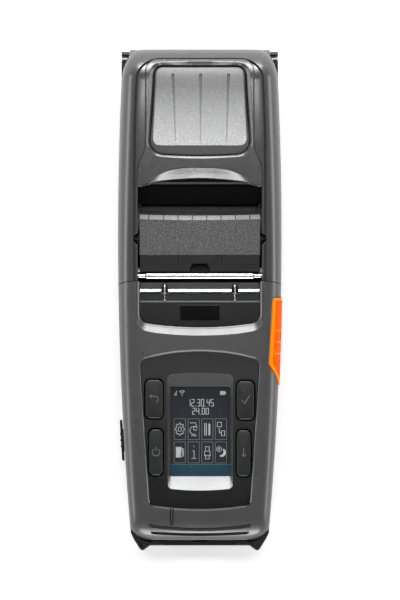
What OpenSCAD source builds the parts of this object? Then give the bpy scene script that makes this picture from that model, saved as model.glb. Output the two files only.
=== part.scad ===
/* [Body] */
// Overall length, from the front bumpers to the rear wall
body_l = 245; // [238:1:252]
// Width at the widest point
body_w = 80; // [79:0.5:84]
// Width of the body at the screen end
front_w = 66.5; // [64:0.5:69]
// Distance of the widest point from the rear wall
widest_from_rear = 92; // [80:1:105]
// Height over the roll bay
roll_end_h = 62; // [60:0.5:66]
// Height where the lid meets the front housing
middle_h = 54; // [53:0.5:56]
// Height at the screen end, before the nose
screen_end_h = 45; // [44:0.5:47]
// Height of the joint between the base and the shells above it
joint_h = 27; // [26:0.5:28]
// Wall thickness of the shells
wall = 2.2; // [1.8:0.1:2.6]
// Gap between shells that part
shell_gap = 0.35; // [0.3:0.05:0.5]
// Length of the rear corner curve, seen from above
rear_corner_l = 16; // [12:1:20]
// Width of the rear corner curve, seen from above
rear_corner_w = 9; // [6:0.5:11]
// Length of the curve that brings the roll bay down at the rear
rear_drop_l = 15; // [12:1:18]
// Depth of the curve that brings the roll bay down at the rear
rear_drop_h = 24; // [20:1:26]
// Length of the nose curve at the screen end
nose_l = 15; // [12:1:18]
// Depth of the nose curve at the screen end
nose_h = 8; // [5:0.5:10]
// Step from the nose back to the front of the base
nose_step = 2.9; // [2:0.1:4]
// How far the front bumpers stand out from the base
bumper_proud = 2.3; // [1.5:0.1:3]
// Height of the front bumpers
bumper_h = 30; // [24:1:34]

/* [Feet] */
// Diameter of a rubber foot
foot_d = 14; // [10:0.5:16]
// How far a foot stands out below the base
foot_proud = 1; // [0.8:0.1:1.2]
// How deep a foot sits in the base
foot_sunk = 1; // [0.8:0.1:1.2]
// Distance of the feet from the ends of the body
foot_inset = 26; // [24:1:30]
// Spacing of the feet across the body
foot_spread = 50; // [44:1:52]

/* [Lid] */
// Length of the lid, from the rear wall to its front edge
lid_l = 113.4; // [112:0.2:115]
// Distance of the hinge pin from the rear wall
hinge_inset = 4.3; // [4.2:0.1:5]
// Height of the hinge pin
hinge_z = 24; // [23:0.5:24.5]
// Diameter of the hinge pin
hinge_pin_d = 3.2; // [2.6:0.1:3.6]
// Thickness of a hinge ear on the base
ear_w = 3.4; // [3:0.1:4]
// Length of a hinge ear along the body
ear_l = 15.4; // [13:0.2:17]
// Half width of the lid cover beside the window
cover_half_w = 26.4; // [26.2:0.1:27.4]
// Thickness of the lid cover
cover_t = 2.1; // [1.8:0.1:2.4]
// Seam between the lid cover and the lid frame
seam = 0.25; // [0.15:0.05:0.35]
// Thickness of the ledge that carries the lid cover
ledge_t = 1.6; // [1.2:0.1:2]
// Width of the window near its front edge
window_w = 46; // [43:0.5:46.5]
// Width of the window near its rear edge
window_rear_w = 42; // [39:0.5:43]
// Length of the window
window_l = 37.6; // [34:0.2:38.4]
// Thickness of the window
window_t = 1.6; // [1.2:0.1:2]
// Width of the seal that shows round the window
seal_w = 1.2; // [1:0.1:1.4]
// Depth of the finger scoop in the front edge of the cover
scoop_l = 4; // [2:0.5:6]

/* [Mouth] */
// Width of the mouth
mouth_w = 60.6; // [60.4:0.2:61.6]
// Length of the mouth in the lid
mouth_l = 46; // [45:0.5:47]
// Thickness of the webs beside the mouth
web_t = 1.5; // [1.3:0.1:1.8]
// Diameter of the chrome peel roller
peel_roller_d = 3; // [2.4:0.1:3.4]
// Diameter of the platen roller
platen_d = 12; // [11:0.2:12.4]
// Diameter of the platen shaft
platen_shaft_d = 5; // [4:0.2:6]
// Height of the platen axis
platen_z = 39.5; // [39:0.25:40]
// Length of the roller that grips the paper
roller_l = 57; // [54:0.5:58]
// Length of the textured peeler cover
peeler_l = 19.9; // [18:0.1:21]
// Thickness of the peeler cover
peeler_t = 6; // [5:0.2:6.6]
// Length of the stepped skirt in front of the peeler cover
skirt_l = 8.1; // [7:0.1:8.6]
// Diameter of the peeler's pivots
pivot_d = 5; // [4:0.2:5.6]
// Diameter of the pinch roller
pinch_d = 4; // [3:0.2:4.4]
// Number of ribs on the peeler cover
rib_count = 9; // [6:1:12]
// Thickness of the tear plate
tear_t = 1.2; // [1:0.1:1.6]

/* [Controls] */
// Length of the control panel
panel_l = 73; // [71:0.5:75]
// Width of the control panel at its rear end
panel_w = 58.4; // [56:0.2:59.4]
// Width of the control panel at its front end
panel_front_w = 49.6; // [47:0.2:51]
// Rise of the arched rear edge of the control panel
panel_arch = 4.2; // [2:0.2:5]
// Depth of the control panel below the deck
panel_depth = 1.4; // [1:0.1:1.8]
// Thickness of the control panel
panel_t = 2; // [1.6:0.1:2.4]
// Width of the visible display
display_w = 29.1; // [26:0.1:30]
// Length of the visible display
display_l = 43.7; // [40:0.1:45]
// Depth of the display below the panel
display_depth = 5; // [4:0.1:5.4]
// Width of a key
key_w = 8.4; // [7:0.1:9]
// Length of a rear key
rear_key_l = 18.8; // [16:0.2:20]
// Length of a front key
front_key_l = 22.6; // [20:0.2:24]
// Distance between the two rows of keys, centre to centre
key_pitch = 44.6; // [43.6:0.2:46]
// How far a key stands out of the panel
key_proud = 1.3; // [1:0.1:1.6]
// Travel of a key
key_travel = 0.8; // [0.5:0.1:1]
// Length of the orange release button
button_l = 42.8; // [38:0.2:44]
// Width of the release button, square to its travel
button_w = 16; // [13:0.5:17]

/* [Inside] */
// Width of the battery pack
battery_w = 35.2; // [32:0.2:36]
// Length of the battery pack
battery_l = 66; // [60:1:70]
// Thickness of the battery pack
battery_t = 18; // [15:0.5:18.5]
// Running clearance of the battery pack and other sliding parts
slide_gap = 0.35; // [0.3:0.05:0.5]
// Tooth module of the drive gears
gear_module = 0.7; // [0.6:0.05:0.7]
// Teeth of the platen gear
platen_teeth = 14; // [13:1:15]
// Teeth of the idler gear
idler_teeth = 32; // [30:1:33]
// Teeth of the motor pinion
pinion_teeth = 14; // [14:1:15]
// Width of the drive gears
gear_w = 3; // [2:0.2:3.4]
// Diameter of the stepper motor
motor_d = 25; // [22:0.5:25.4]
// Length of the stepper motor
motor_l = 15; // [12:0.5:17]
// Diameter of a roll guide disc
guide_disc_d = 40; // [34:1:42]
// Distance between the roll guides when they are fully open
guide_open_w = 58; // [54:0.5:59]
// Running clearance of shafts in their holes
shaft_gap = 0.04; // [0.02:0.01:0.08]
// Thickness of the circuit board
board_t = 1.6; // [1.2:0.1:2]

/* [Hidden] */
$fn = 48;

// Body outline. Y runs from the screen end to the hinge, and Z up from the table.
rear_y = body_l / 2;
front_y = -body_l / 2 + bumper_proud;
widest_y = rear_y - widest_from_rear;
floor_z = foot_proud;
lid_front_y = rear_y - lid_l;
crest_y = rear_y - 1.5 * rear_drop_l;
nose_y = front_y + nose_l;
deck_slope = (middle_h - screen_end_h) / (lid_front_y - nose_y);
deck_tilt = atan(deck_slope);
side_taper = (body_w - front_w) / 2;
bottom_curve_l = 6;
bottom_curve_h = 5;
front_corner = 8;
upper_power = 6.5;
lower_power = 8;
upper_steps = 10;
lower_steps = 6;

// Height of the straight deck line, which the control panel follows
function deck_z(y) = middle_h + deck_slope * (y - lid_front_y);

// Cubic from the deck line up to the level crest over the roll bay
function crest_z(t) =
    (2 * t ^ 3 - 3 * t ^ 2 + 1) * middle_h
    + (t ^ 3 - 2 * t ^ 2 + t) * deck_slope * (crest_y - lid_front_y)
    + (3 * t ^ 2 - 2 * t ^ 3) * roll_end_h;

function top_z(y) = y < lid_front_y ? deck_z(y)
    : crest_z(min(1, (y - lid_front_y) / (crest_y - lid_front_y)));

function half_w(y) = body_w / 2 - side_taper * ((y - widest_y) / (front_y - widest_y)) ^ 2;

// Share of a rounded end's full size at distance s into a curve of length l
function round_share(s, l) = s >= l ? 1 : sqrt(max(0, 1 - (1 - s / l) ^ 2));

// One closed section of the body at y, drawn in by d all round. End curves start at y0 and y1.
function ring(y, d, y0, y1) =
    let(
        rear = y1 - y,
        front = y - y0,
        w = half_w(y) - d - rear_corner_w * (1 - round_share(rear, rear_corner_l))
            - front_corner * (1 - round_share(front, front_corner)),
        top = top_z(y) - d - rear_drop_h * (1 - round_share(rear, rear_drop_l))
            - nose_h * (1 - round_share(front, nose_l)),
        bottom = floor_z + d
            + bottom_curve_h * (1 - round_share(min(rear, front), bottom_curve_l)),
        up = top - joint_h,
        down = joint_h - bottom
    )
    concat(
        [for (i = [-upper_steps : upper_steps])
            let(a = 90 * abs(i) / upper_steps)
            [sign(i) * w * sin(a) ^ (2 / upper_power), y, joint_h + up * cos(a) ^ (2 / upper_power)]],
        [for (i = [lower_steps - 1 : -1 : 1 - lower_steps])
            let(a = 90 * abs(i) / lower_steps)
            [sign(i) * w * sin(a) ^ (2 / lower_power), y, joint_h - down * cos(a) ^ (2 / lower_power)]]
    );

// Stations along Y: close together in the end curves and evenly spaced between them
end_steps = 7;
mid_steps = 16;
function stations(y0, y1) = concat(
    [for (i = [0 : end_steps]) y0 + nose_l * (1 - cos(90 * i / end_steps))],
    [for (i = [1 : mid_steps - 1])
        y0 + nose_l + (y1 - rear_corner_l - y0 - nose_l) * i / mid_steps],
    [for (i = [end_steps : -1 : 0]) y1 - rear_corner_l * (1 - cos(90 * i / end_steps))]
);

// Closed solid through rings that have equal numbers of points
module loft(rings) {
    n = len(rings[0]);
    last = len(rings) - 1;
    polyhedron(
        points = [for (r = rings) each r],
        faces = concat(
            [for (k = [0 : last - 1], i = [0 : n - 1], half = [0, 1])
                let(a = k * n + i, b = k * n + (i + 1) % n)
                half == 0 ? [a, b + n, b] : [a, a + n, b + n]],
            [[for (i = [0 : n - 1]) i]],
            [[for (i = [n - 1 : -1 : 0]) last * n + i]]
        ),
        convexity = 8
    );
}

// The whole outer form drawn in by d, with its front end at y0
module form(d = 0, y0 = front_y) {
    y1 = rear_y - d;
    loft([for (y = stations(y0 + d, y1)) ring(y, d, y0 + d, y1)]);
}

// Solid bar along X
module rod(r, x0, x1, y, z) translate([x0, y, z]) rotate([0, 90, 0]) cylinder(r = r, h = x1 - x0);

// Box between two corners
module block(a, b) translate(a) cube(b - a);

// Outline in Y and Z, drawn along X
module along_x(x0, x1) translate([x0, 0, 0]) rotate([90, 0, 90]) linear_extrude(x1 - x0) children();

// Frame on the deck: its Z is square to the deck, and its origin is on the deck line at y
module on_deck(y) translate([0, y, deck_z(y)]) rotate([deck_tilt, 0, 0]) children();

// Plain slab between two depths below the deck, from an outline
module slab(depth0, depth1) translate([0, 0, -depth1]) linear_extrude(depth1 - depth0) children();

// Everything above a height
far = 200;
module above(z) block([-far, -far, z], [far, far, far]);

// Mouth mechanism places, all from the lid's front edge
mouth_half = mouth_w / 2;
web_x = mouth_half + web_t;
lid_gap_y = lid_front_y + shell_gap;
platen_y = lid_front_y + 4.9;
peel_y = lid_front_y + 2.6;
peel_z = deck_z(peel_y) - 4.8;
peel_neck = 4;
peeler_y0 = lid_front_y + 12.7;
peeler_y1 = peeler_y0 + peeler_l;
peeler_top = deck_z(peeler_y0) - 3;
peeler_bottom = peeler_top - peeler_t;
pivot_y = peeler_y0 + 8;
pivot_z = peeler_bottom + 1.2;
peeler_half = mouth_half - 1;
pinch_y = peeler_y0 + 1.6;
pinch_z = peeler_bottom - pinch_d / 2 - 0.6;
bar_d = 2.5;
bar_y = peeler_y1 + 2.9;
bar_z = peeler_top - 1.6;
hinge_y = rear_y - hinge_inset;
barrel_r = hinge_inset - 0.05;

// Lid cover outline, seen from above
cover_front_y = lid_gap_y + mouth_l;
cover_wide_y = cover_front_y + 7;
cover_narrow_y = cover_front_y + 21;
cover_rear_y = rear_y - 5;
cover_corner = 6;
module cover_shape(grow = 0) offset(delta = grow) polygon(concat(
    [[-mouth_half, cover_front_y], [mouth_half, cover_front_y], [mouth_half, cover_wide_y]],
    [for (i = [0 : 6])
        let(a = 180 * i / 6, t = (1 - cos(a)) / 2)
        [mouth_half + (cover_half_w - mouth_half) * t,
         cover_wide_y + (cover_narrow_y - cover_wide_y) * i / 6]],
    [for (i = [0 : 6]) [cover_half_w - cover_corner * (1 - cos(15 * i)),
                        cover_rear_y - cover_corner * (1 - sin(15 * i))]],
    [for (i = [6 : -1 : 0]) [-cover_half_w + cover_corner * (1 - cos(15 * i)),
                             cover_rear_y - cover_corner * (1 - sin(15 * i))]],
    [for (i = [6 : -1 : 0])
        let(a = 180 * i / 6, t = (1 - cos(a)) / 2)
        [-mouth_half - (cover_half_w - mouth_half) * t,
         cover_wide_y + (cover_narrow_y - cover_wide_y) * i / 6]],
    [[-mouth_half, cover_wide_y]]
));

window_rear_y = cover_rear_y - 4.2;
window_front_y = window_rear_y - window_l;
window_corner = 3;
module window_shape(grow = 0) offset(r = window_corner + grow) offset(delta = -window_corner) polygon([
    [-window_rear_w / 2, window_rear_y], [-window_w / 2, window_front_y],
    [window_w / 2, window_front_y], [window_rear_w / 2, window_rear_y]
]);

module column() translate([0, 0, joint_h]) linear_extrude(far) children();

// A skin of the outer form between two depths, kept to an outline seen from above
module skin(depth0, depth1) difference() {
    intersection() {
        form(depth0);
        column() children();
    }
    form(depth1);
}

// Finger scoop in the front lip of the cover: an arc whose upper edge leans back
scoop_half = mouth_half - 2;
scoop_bevel_l = 5;
scoop_bevel_h = 3.5;
lip_h = 6.5;
lip_l = 12;
lip_top = top_z(cover_front_y + scoop_l + scoop_bevel_l);
function scoop_ring(sag, z) = concat(
    [[-scoop_half, cover_front_y - 5, z], [scoop_half, cover_front_y - 5, z]],
    [for (i = [12 : -1 : 0])
        let(u = i / 6 - 1) [u * scoop_half, cover_front_y + sag * (1 - u ^ 2), z]]
);

// Control panel places on the deck
panel_rear_y = lid_front_y - 38.4;
panel_corner = 4;
module panel_shape(grow = 0) offset(r = panel_corner + grow) offset(delta = -panel_corner) polygon(concat(
    [for (i = [0 : 12])
        let(u = i / 6 - 1) [u * panel_w / 2, panel_arch * (1 - u ^ 2)]],
    [for (i = [12 : -1 : 0])
        let(u = i / 6 - 1) [u * panel_front_w / 2, -panel_l * cos(deck_tilt) + 3 * u ^ 2]]
));

display_x = 0.1;
display_rear = -13.1;
display_front = display_rear - display_l;
display_top = panel_depth + display_depth;
bevel_x = 1.4;
bevel_rear = 6.2;
bevel_front = 5.6;
lens_t = 1;
lcd_t = 2.6;
board_depth = display_top + lens_t + lcd_t + 0.9;
board_rear = -3;
board_front = -panel_l + 2;
board_half_w = 26;
key_rear = -9.8;
front_key_taper = 1.8;
key_row_gap = 5.4;
keys = [
    ["back", -1, key_rear, rear_key_l], ["ok", 1, key_rear - 0.6, rear_key_l],
    ["power", -1, key_rear - rear_key_l - key_row_gap, front_key_l],
    ["feed", 1, key_rear - rear_key_l - key_row_gap - 0.4, front_key_l]
];

// Outline of one key, whose width runs inward from the outer edge
module key_shape(k, grow = 0) {
    shrink = k[3] == front_key_l ? front_key_taper : 0;
    translate([k[1] * (key_pitch - shrink) / 2, k[2] - k[3] / 2])
        offset(r = 2.4 + grow) square([key_w - shrink - 4.8, k[3] - 4.8], center = true);
}

// Trim recess behind the tear plate
trim_rear = lid_front_y - 10.6;
trim_front = trim_rear - 12;
trim_depth = 3.5;
trim_half = mouth_half - 0.9;
trim_corner = 5;
trim_lean = 8;
trim_x1 = trim_half - trim_corner * (1 - sin(trim_lean));
trim_bow = trim_x1 * tan(trim_lean) / 2;

// Half of the front edge of the trim recess: a bowed front, then the corner curve
function trim_side(side, grow) = [for (i = [0 : 12])
    let(
        t = min(1, i / 6),
        front_lean = atan(t * tan(trim_lean)),
        lean = front_lean + (90 - trim_lean) * max(0, i / 6 - 1),
        p = [t * trim_x1, trim_front - trim_rear + trim_bow * t ^ 2]
            + (trim_corner + grow) * [sin(lean), -cos(lean)]
            - trim_corner * [sin(front_lean), -cos(front_lean)]
    )
    [side * p[0], p[1]]
];

function trim_outline(grow) = let(left = trim_side(-1, grow)) concat(
    [[trim_half + grow, far / 2], [-trim_half - grow, far / 2]],
    [for (i = [12 : -1 : 1]) left[i]],
    trim_side(1, grow)
);

module trim_shape(grow = 0) polygon(trim_outline(grow));

// Print head stack, front to back, just in front of the platen
head_gap = 0.3;
head_y = platen_y - platen_d / 2 - head_gap;
head_t = 2.4;
sink_t = 2;
spring_l = 3;
bracket_t = 1;
bracket_y = head_y - head_t - sink_t - spring_l;
head_half = roller_l / 2;

// Drive gears, in the cavity beside the left web
gear_x = -web_x - 1 - gear_w;
platen_r = gear_module * platen_teeth / 2;
idler_r = gear_module * idler_teeth / 2;
pinion_r = gear_module * pinion_teeth / 2;
mesh_angle = -145;
idler_y = platen_y + (platen_r + idler_r) * cos(mesh_angle);
idler_z = platen_z + (platen_r + idler_r) * sin(mesh_angle);
motor_y = idler_y - idler_r - pinion_r;
motor_z = idler_z;
idler_turn = mesh_angle + 180;
platen_turn = mesh_angle + 180 / platen_teeth;
pinion_turn = 180 / pinion_teeth + (180 - idler_turn) * idler_teeth / pinion_teeth;
pressure_angle = 20;
backlash = 1.6;
plate_x = mouth_half + 0.3;
plate_t = 1;
chassis_y0 = motor_y - motor_d / 2 - 3;
chassis_y1 = lid_front_y - 0.7;
chassis_z = floor_z + wall + 1.2;
cable_front = chassis_y0 - 4;

function involute(r, rb) = let(a = acos(min(1, rb / r))) tan(a) * 180 / PI - a;

// Gear outline with involute flanks, its first tooth on the x axis
module gear_shape(teeth, m) {
    r = m * teeth / 2;
    rb = r * cos(pressure_angle);
    r_top = r + 0.9 * m;
    r_root = r - 1.2 * m;
    half = (90 - backlash) / teeth + involute(r, rb);
    flank = [for (i = [0 : 4]) max(rb, r_root) + (r_top - max(rb, r_root)) * i / 4];
    polygon([for (k = [0 : teeth - 1]) each concat(
        [let(a = 360 * k / teeth - half) r_root * [cos(a), sin(a)]],
        [for (q = flank) let(a = 360 * k / teeth - half + involute(q, rb)) q * [cos(a), sin(a)]],
        [for (i = [4 : -1 : 0])
            let(q = flank[i], a = 360 * k / teeth + half - involute(q, rb)) q * [cos(a), sin(a)]],
        [let(a = 360 * k / teeth + half) r_root * [cos(a), sin(a)]]
    )]);
}

// Latch hook, in the cavity beside the right web
hook_x = web_x + 1;
hook_t = 2.4;
hook_y = lid_front_y - 3;
hook_z = 17;
latch_pin_r = 2;
latch_y = lid_front_y + 4.6;
latch_z = 32.5;
nose_gap = 0.35;

// Release button frame: its travel is along -Z of a frame tilted outward
button_tilt = 45;
button_rear = lid_front_y - 7.9;
button_inset = 3.8;
button_x = body_w / 2 - button_inset;
button_z = 40.2;
button_t = 4.2;
module at_button() translate([button_x, 0, button_z]) rotate([0, button_tilt, 0]) children();
module button_shape(grow = 0) offset(r = 1.6 + grow) offset(delta = -1.6) polygon([
    [-button_w / 2, button_rear], [button_w / 2, button_rear],
    [button_w / 2, button_rear - button_l],
    [button_w / 2 - 7, button_rear - button_l],
    [-button_w / 2, button_rear - button_l + 10]
]);

// Battery and its sleeve
battery_y = front_y + battery_l;
battery_z = floor_z + bottom_curve_h + 1;
cap_t = 4;
sleeve_t = 0.8;

// Roll bay
roll_y = rear_y - 36.5;
roll_z = 32;
cradle_r = 27.6;
cradle_t = 1.6;
cradle_half = mouth_half + 0.6;
end_t = 1.5;
channel_w = 22.8;
rack_z = floor_z + wall + 1.6;
rack_t = 3;
rack_module = 1;
centring_teeth = 12;
centring_r = rack_module * centring_teeth / 2;
guide_t = 2;
rod_d = 3;
sleeve_wall = 1.4;
rod_z = rack_z + rack_t + rod_d / 2 + sleeve_wall + 0.4;

// Port flap on the left side of the base
flap_y = lid_front_y - 77.8;
flap_l = 20;
flap_h = 16;
flap_z = 8;
flap_t = 1.6;
flap_gap = 0.4;
flap_angle = 3.4;
port_w = 13;
port_h = 9;
port_z = flap_z + 4;
module at_flap() translate([-half_w(flap_y), flap_y, 0]) rotate([0, 0, flap_angle]) children();

// Screws
screw_r = 1.5;
screw_head_r = 2.6;
screw_head_t = 2;
screw_head_z = floor_z + 1.6;
boss_r = 3.2;
press_gap = 0.02;
boss_places = [for (side = [-1, 1]) each [
    [side * 30.6, panel_rear_y - 18.2], [side * 27, front_y + 9.8]
]];
board_screw_places = [for (side = [-1, 1]) each [
    [side * 22.5, board_rear - 3], [side * 21, board_front + 4]
]];

// Standoffs under the steel frame, and bosses for the screws of a belt clip under the base
standoffs = [for (x = [-20, 20], y = [chassis_y0 + 5, chassis_y1 - 5]) [x, y]];
standoff_r = 3;
clip_pitch = 30;
clip_y = 48;
clip_hole_r = 1.25;
clip_depth = 6;
post_r = 1.6;
clip_places = [for (x = [-clip_pitch / 2, clip_pitch / 2]) [x, clip_y]];
foot_places = [
    for (x = [-1, 1], y = [front_y + foot_inset, rear_y - foot_inset]) [x * foot_spread / 2, y]
];

// Ears beside the lid hold the hinge pin in slots that are open at the top
ear_x = half_w(hinge_y) + 0.6;
ear_in_x = ear_x - ear_w;
ear_rear_y = rear_y - 1;
module ears() for (side = [-1, 1]) translate([side * (ear_x - ear_w / 2) - ear_w / 2, 0, 0])
    along_x(0, ear_w) offset(r = 2) offset(delta = -2) polygon([
        [ear_rear_y - ear_l, floor_z + 6], [ear_rear_y - 3, floor_z + 6], [ear_rear_y, floor_z + 10],
        [ear_rear_y, joint_h + 0.4], [ear_rear_y - ear_l, joint_h + 0.4]
    ]);

// Base, with the hinge ears, screw bosses and openings
notch_r = barrel_r + shell_gap;
module base_housing() color("#3c3c3d") difference() {
    union() {
        difference() {
            form();
            form(wall);
            above(joint_h);
        }
        intersection() {
            form(0.4);
            union() {
                for (p = boss_places) translate(p) cylinder(r = boss_r, h = joint_h);
                for (p = standoffs) translate(p) cylinder(r = standoff_r, h = chassis_z);
                for (p = clip_places) translate(p) cylinder(r = boss_r, h = floor_z + clip_depth + 1.2);
                translate([0, roll_y, 0]) cylinder(r = post_r + 1.4, h = rack_z - slide_gap);
                translate([0, roll_y, 0]) cylinder(r = post_r, h = rack_z + rack_t);
                translate([spring_x, spring_y, 0]) cylinder(r = spring_r + 0.6, h = spring_z);
            }
        }
        ears();
    }
    block([-ear_in_x, hinge_y - notch_r, hinge_z - notch_r], [ear_in_x, rear_y + 1, joint_h + 1]);
    block([-far, hinge_y - hinge_pin_d / 2, hinge_z], [far, hinge_y + hinge_pin_d / 2, far]);
    rod(hinge_pin_d / 2 + press_gap, -far / 2, far / 2, hinge_y, hinge_z);
    block([-battery_w / 2 - slide_gap, front_y - 1, battery_z - slide_gap],
          [battery_w / 2 + slide_gap, front_y + cap_t, joint_h + 1]);
    for (p = boss_places) translate(p) {
        cylinder(r = screw_r + 0.1, h = joint_h + 2);
        cylinder(r = screw_head_r + 0.2, h = screw_head_z + screw_head_t);
    }
    for (p = standoffs) translate([p[0], p[1], floor_z + 0.8]) cylinder(r = screw_r - 0.3, h = chassis_z);
    for (p = clip_places) translate(p) cylinder(r = clip_hole_r, h = floor_z + clip_depth);
    for (p = foot_places) translate(p) cylinder(r = foot_d / 2 + 0.1, h = foot_proud + foot_sunk);
    at_flap() block([-flap_t, -port_w / 2, port_z], [wall + 2, port_w / 2, port_z + port_h]);
}

// Shell over the screen end
top_y0 = front_y + nose_step;
module front_housing() color("#474749") difference() {
    union() {
        difference() {
            form(0, top_y0);
            form(wall, top_y0);
        }
        intersection() {
            form(0.4, top_y0);
            union() {
                for (p = boss_places) translate([p[0], p[1], joint_h]) cylinder(r = boss_r, h = far);
                on_deck(trim_rear) slab(-4, 8) intersection() {
                    trim_shape(5);
                    translate([-far / 2, -far / 2]) square([far, far / 2 + 10.2]);
                }
            }
        }
    }
    block([-far, -far, -far], [far, far, joint_h]);
    block([-far, lid_front_y, -far], [far, far, far]);
    on_deck(panel_rear_y) slab(-20, 20) panel_shape(0);
    on_deck(trim_rear) trim_pocket();
    for (p = boss_places) translate([p[0], p[1], joint_h - 1]) cylinder(r = screw_r - 0.3, h = 10);
    at_button() translate([0, 0, -20]) linear_extrude(40) button_shape(0.5);
    block([-catch_half - 0.4, front_y - 1, joint_h - 1],
          [catch_half + 0.4, top_y0 + wall + 2, joint_h + catch_h + catch_travel + 0.6]);
}

// Straight pocket of the trim recess, with the bevel that falls into it from the deck
trim_bevel_w = 3;
module trim_pocket() loft([
    for (r = [[0, -20], [0, -trim_depth], [trim_bevel_w, 1]]) [for (p = trim_outline(r[0])) [p[0], p[1], r[1]]]
]);

// Plate round the screen and keys, with the sunk screen well
key_flange = 0.7;
well_wall = 1;
module control_panel() color("#2c2c2d") on_deck(panel_rear_y) difference() {
    union() {
        slab(panel_depth, panel_depth + panel_t) panel_shape(-0.15);
        slab(panel_depth + 1, display_top + lens_t - 0.2) well_block();
        for (p = board_screw_places) translate([p[0], p[1], -board_depth])
            cylinder(r = 2.4, h = board_depth - panel_depth - 1);
    }
    screen_well();
    slab(display_top, display_top + 10) lens_shape(0.1);
    for (k = keys) slab(0, 20) key_shape(k, 0.35);
    for (p = board_screw_places) translate([p[0], p[1], -board_depth - 1]) cylinder(r = 0.9, h = 6);
}

module well_block() translate([display_x, (display_rear + display_front) / 2])
    square([display_w + 2 * (bevel_x + well_wall), display_l + 14], center = true);

module lens_shape(grow = 0) translate([display_x, (display_rear + display_front) / 2])
    square([display_w + 2.4 + 2 * grow, display_l + 3 + 2 * grow], center = true);

// Sloping walls of the screen well
module screen_well() hull() {
    translate([display_x - display_w / 2, display_front, -display_top - 0.1])
        cube([display_w, display_l, 0.1]);
    translate([display_x, (display_rear + bevel_rear + display_front - bevel_front) / 2, 0.4 - panel_depth])
        linear_extrude(0.1) offset(r = 2)
            square([display_w + 2 * bevel_x - 4, display_l + bevel_rear + bevel_front - 4], center = true);
}

module screen_lens() color("#3a4148") on_deck(panel_rear_y)
    slab(display_top, display_top + lens_t) lens_shape(0);

module lcd_module() color("#8d9094") on_deck(panel_rear_y)
    slab(display_top + lens_t + 0.05, display_top + lens_t + lcd_t)
        translate([display_x, (display_rear + display_front) / 2 - 1])
            square([display_w + 3, display_l + 8], center = true);

module main_board() color("#1f5a3a") on_deck(panel_rear_y) difference() {
    slab(board_depth, board_depth + board_t)
        translate([-board_half_w, board_front]) square([2 * board_half_w, board_rear - board_front]);
    for (p = board_screw_places) translate([p[0], p[1], -board_depth - 5]) cylinder(r = 1.2, h = 10);
}

switch_h = 1.3;
module key_switches() color("#b9bbbd") on_deck(panel_rear_y) for (k = keys)
    translate([k[1] * key_pitch / 2, k[2] - k[3] / 2, -board_depth]) {
        translate([-2.6, -2.6, 0]) cube([5.2, 5.2, switch_h - 0.5]);
        cylinder(r = 1.2, h = switch_h);
    }

module board_screws() color("#c9cacc") on_deck(panel_rear_y) for (p = board_screw_places)
    translate([p[0], p[1], -board_depth - board_t]) {
        cylinder(r = 0.85, h = board_t + 4);
        translate([0, 0, -1.2]) cylinder(r = 1.9, h = 1.2);
    }

// Blank panel between the deck and the tear plate, with its lower step
shelf_z = deck_z(trim_rear) - 7;
shelf_y1 = bracket_y + 3.4;
module trim_panel() color("#29292a") {
    on_deck(trim_rear) slab(trim_depth, trim_depth + 1.8) intersection() {
        trim_shape(-0.15);
        translate([-far / 2, -far / 2]) square([far, far / 2 + 0.8]);
    }
    along_x(-trim_half + 0.2, trim_half - 0.2) polygon([
        [trim_rear, deck_z(trim_rear) - trim_depth - 0.2], [trim_rear, shelf_z - 1],
        [shelf_y1, shelf_z - 1], [shelf_y1, shelf_z], [trim_rear + 0.9, shelf_z],
        [trim_rear + 0.9, deck_z(trim_rear) - trim_depth - 0.2]
    ]);
}

badge_w = 19.5;
badge_l = 7.5;
module badge_plate() color("#0c0c0c") on_deck(trim_rear)
    translate([0, -1.2 - badge_l / 2, -trim_depth])
        linear_extrude(0.6) offset(r = 0.4) square([badge_w - 0.8, badge_l - 0.8], center = true);

// Tear plate over the print head, with two slots for the wire guides
slot_x = 17.3;
slot_w = 3.5;
tear_y0 = lid_front_y - 5.4;
tear_y1 = lid_front_y - 0.6;
tear_z = deck_z(tear_y0) - trim_depth;
module tear_plate() color("#9a9b9d") difference() {
    along_x(-mouth_half + 1.5, mouth_half - 1.5) polygon([
        [tear_y1, tear_z], [tear_y1, tear_z - tear_t], [tear_y0 + tear_t, tear_z - tear_t],
        [tear_y0 + tear_t, tear_z - 4], [tear_y0, tear_z - 4], [tear_y0, tear_z - 0.6],
        [tear_y0 + 0.6, tear_z]
    ]);
    for (side = [-1, 1]) translate([side * slot_x, 0, 0])
        block([-slot_w / 2, tear_y0 - 1, tear_z - 3], [slot_w / 2, tear_y1 - 0.8, tear_z + 1]);
}

wire_t = 0.7;
module wire_guides() color("silver") for (side = [-1, 1])
    along_x(side * slot_x - wire_t / 2, side * slot_x + wire_t / 2) polygon([
        [trim_rear + 1.3, shelf_z + 0.02], [shelf_y1 - 0.2, shelf_z + 0.02], [shelf_y1 - 0.2, tear_z - 1.4],
        [tear_y1 - 1.2, tear_z - 1.4], [tear_y1 - 1.2, tear_z + 0.9], [trim_rear + 1.3, tear_z + 0.9]
    ]);

module print_head() color("#d8d4c8") {
    block([-head_half, head_y - head_t, 31], [head_half, head_y - 0.6, tear_z - tear_t - 0.4]);
    rod(0.7, -head_half + 1, head_half - 1, head_y - 0.7, platen_z);
}

fin_pitch = 6;
module heat_sink() color("#a8abae") difference() {
    block([-head_half - 1, head_y - head_t - sink_t, 27], [head_half + 1, head_y - head_t - 0.02, 45]);
    for (x = [-4 * fin_pitch : fin_pitch : 4 * fin_pitch])
        block([x - 1, head_y - head_t - sink_t - 1, 28.5], [x + 1, head_y - head_t - sink_t + 1, 34]);
}

// Coil spring that stands on Z, as a swept wire
module coil(r, wire, h, turns) {
    steps = 14 * turns;
    loft([for (k = [0 : steps]) let(t = 360 * turns * k / steps, z = wire + (h - 2 * wire) * k / steps)
        [for (u = [0 : 60 : 300]) let(q = r - wire * cos(u)) [q * cos(t), q * sin(t), z + wire * sin(u)]]
    ]);
}

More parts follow.
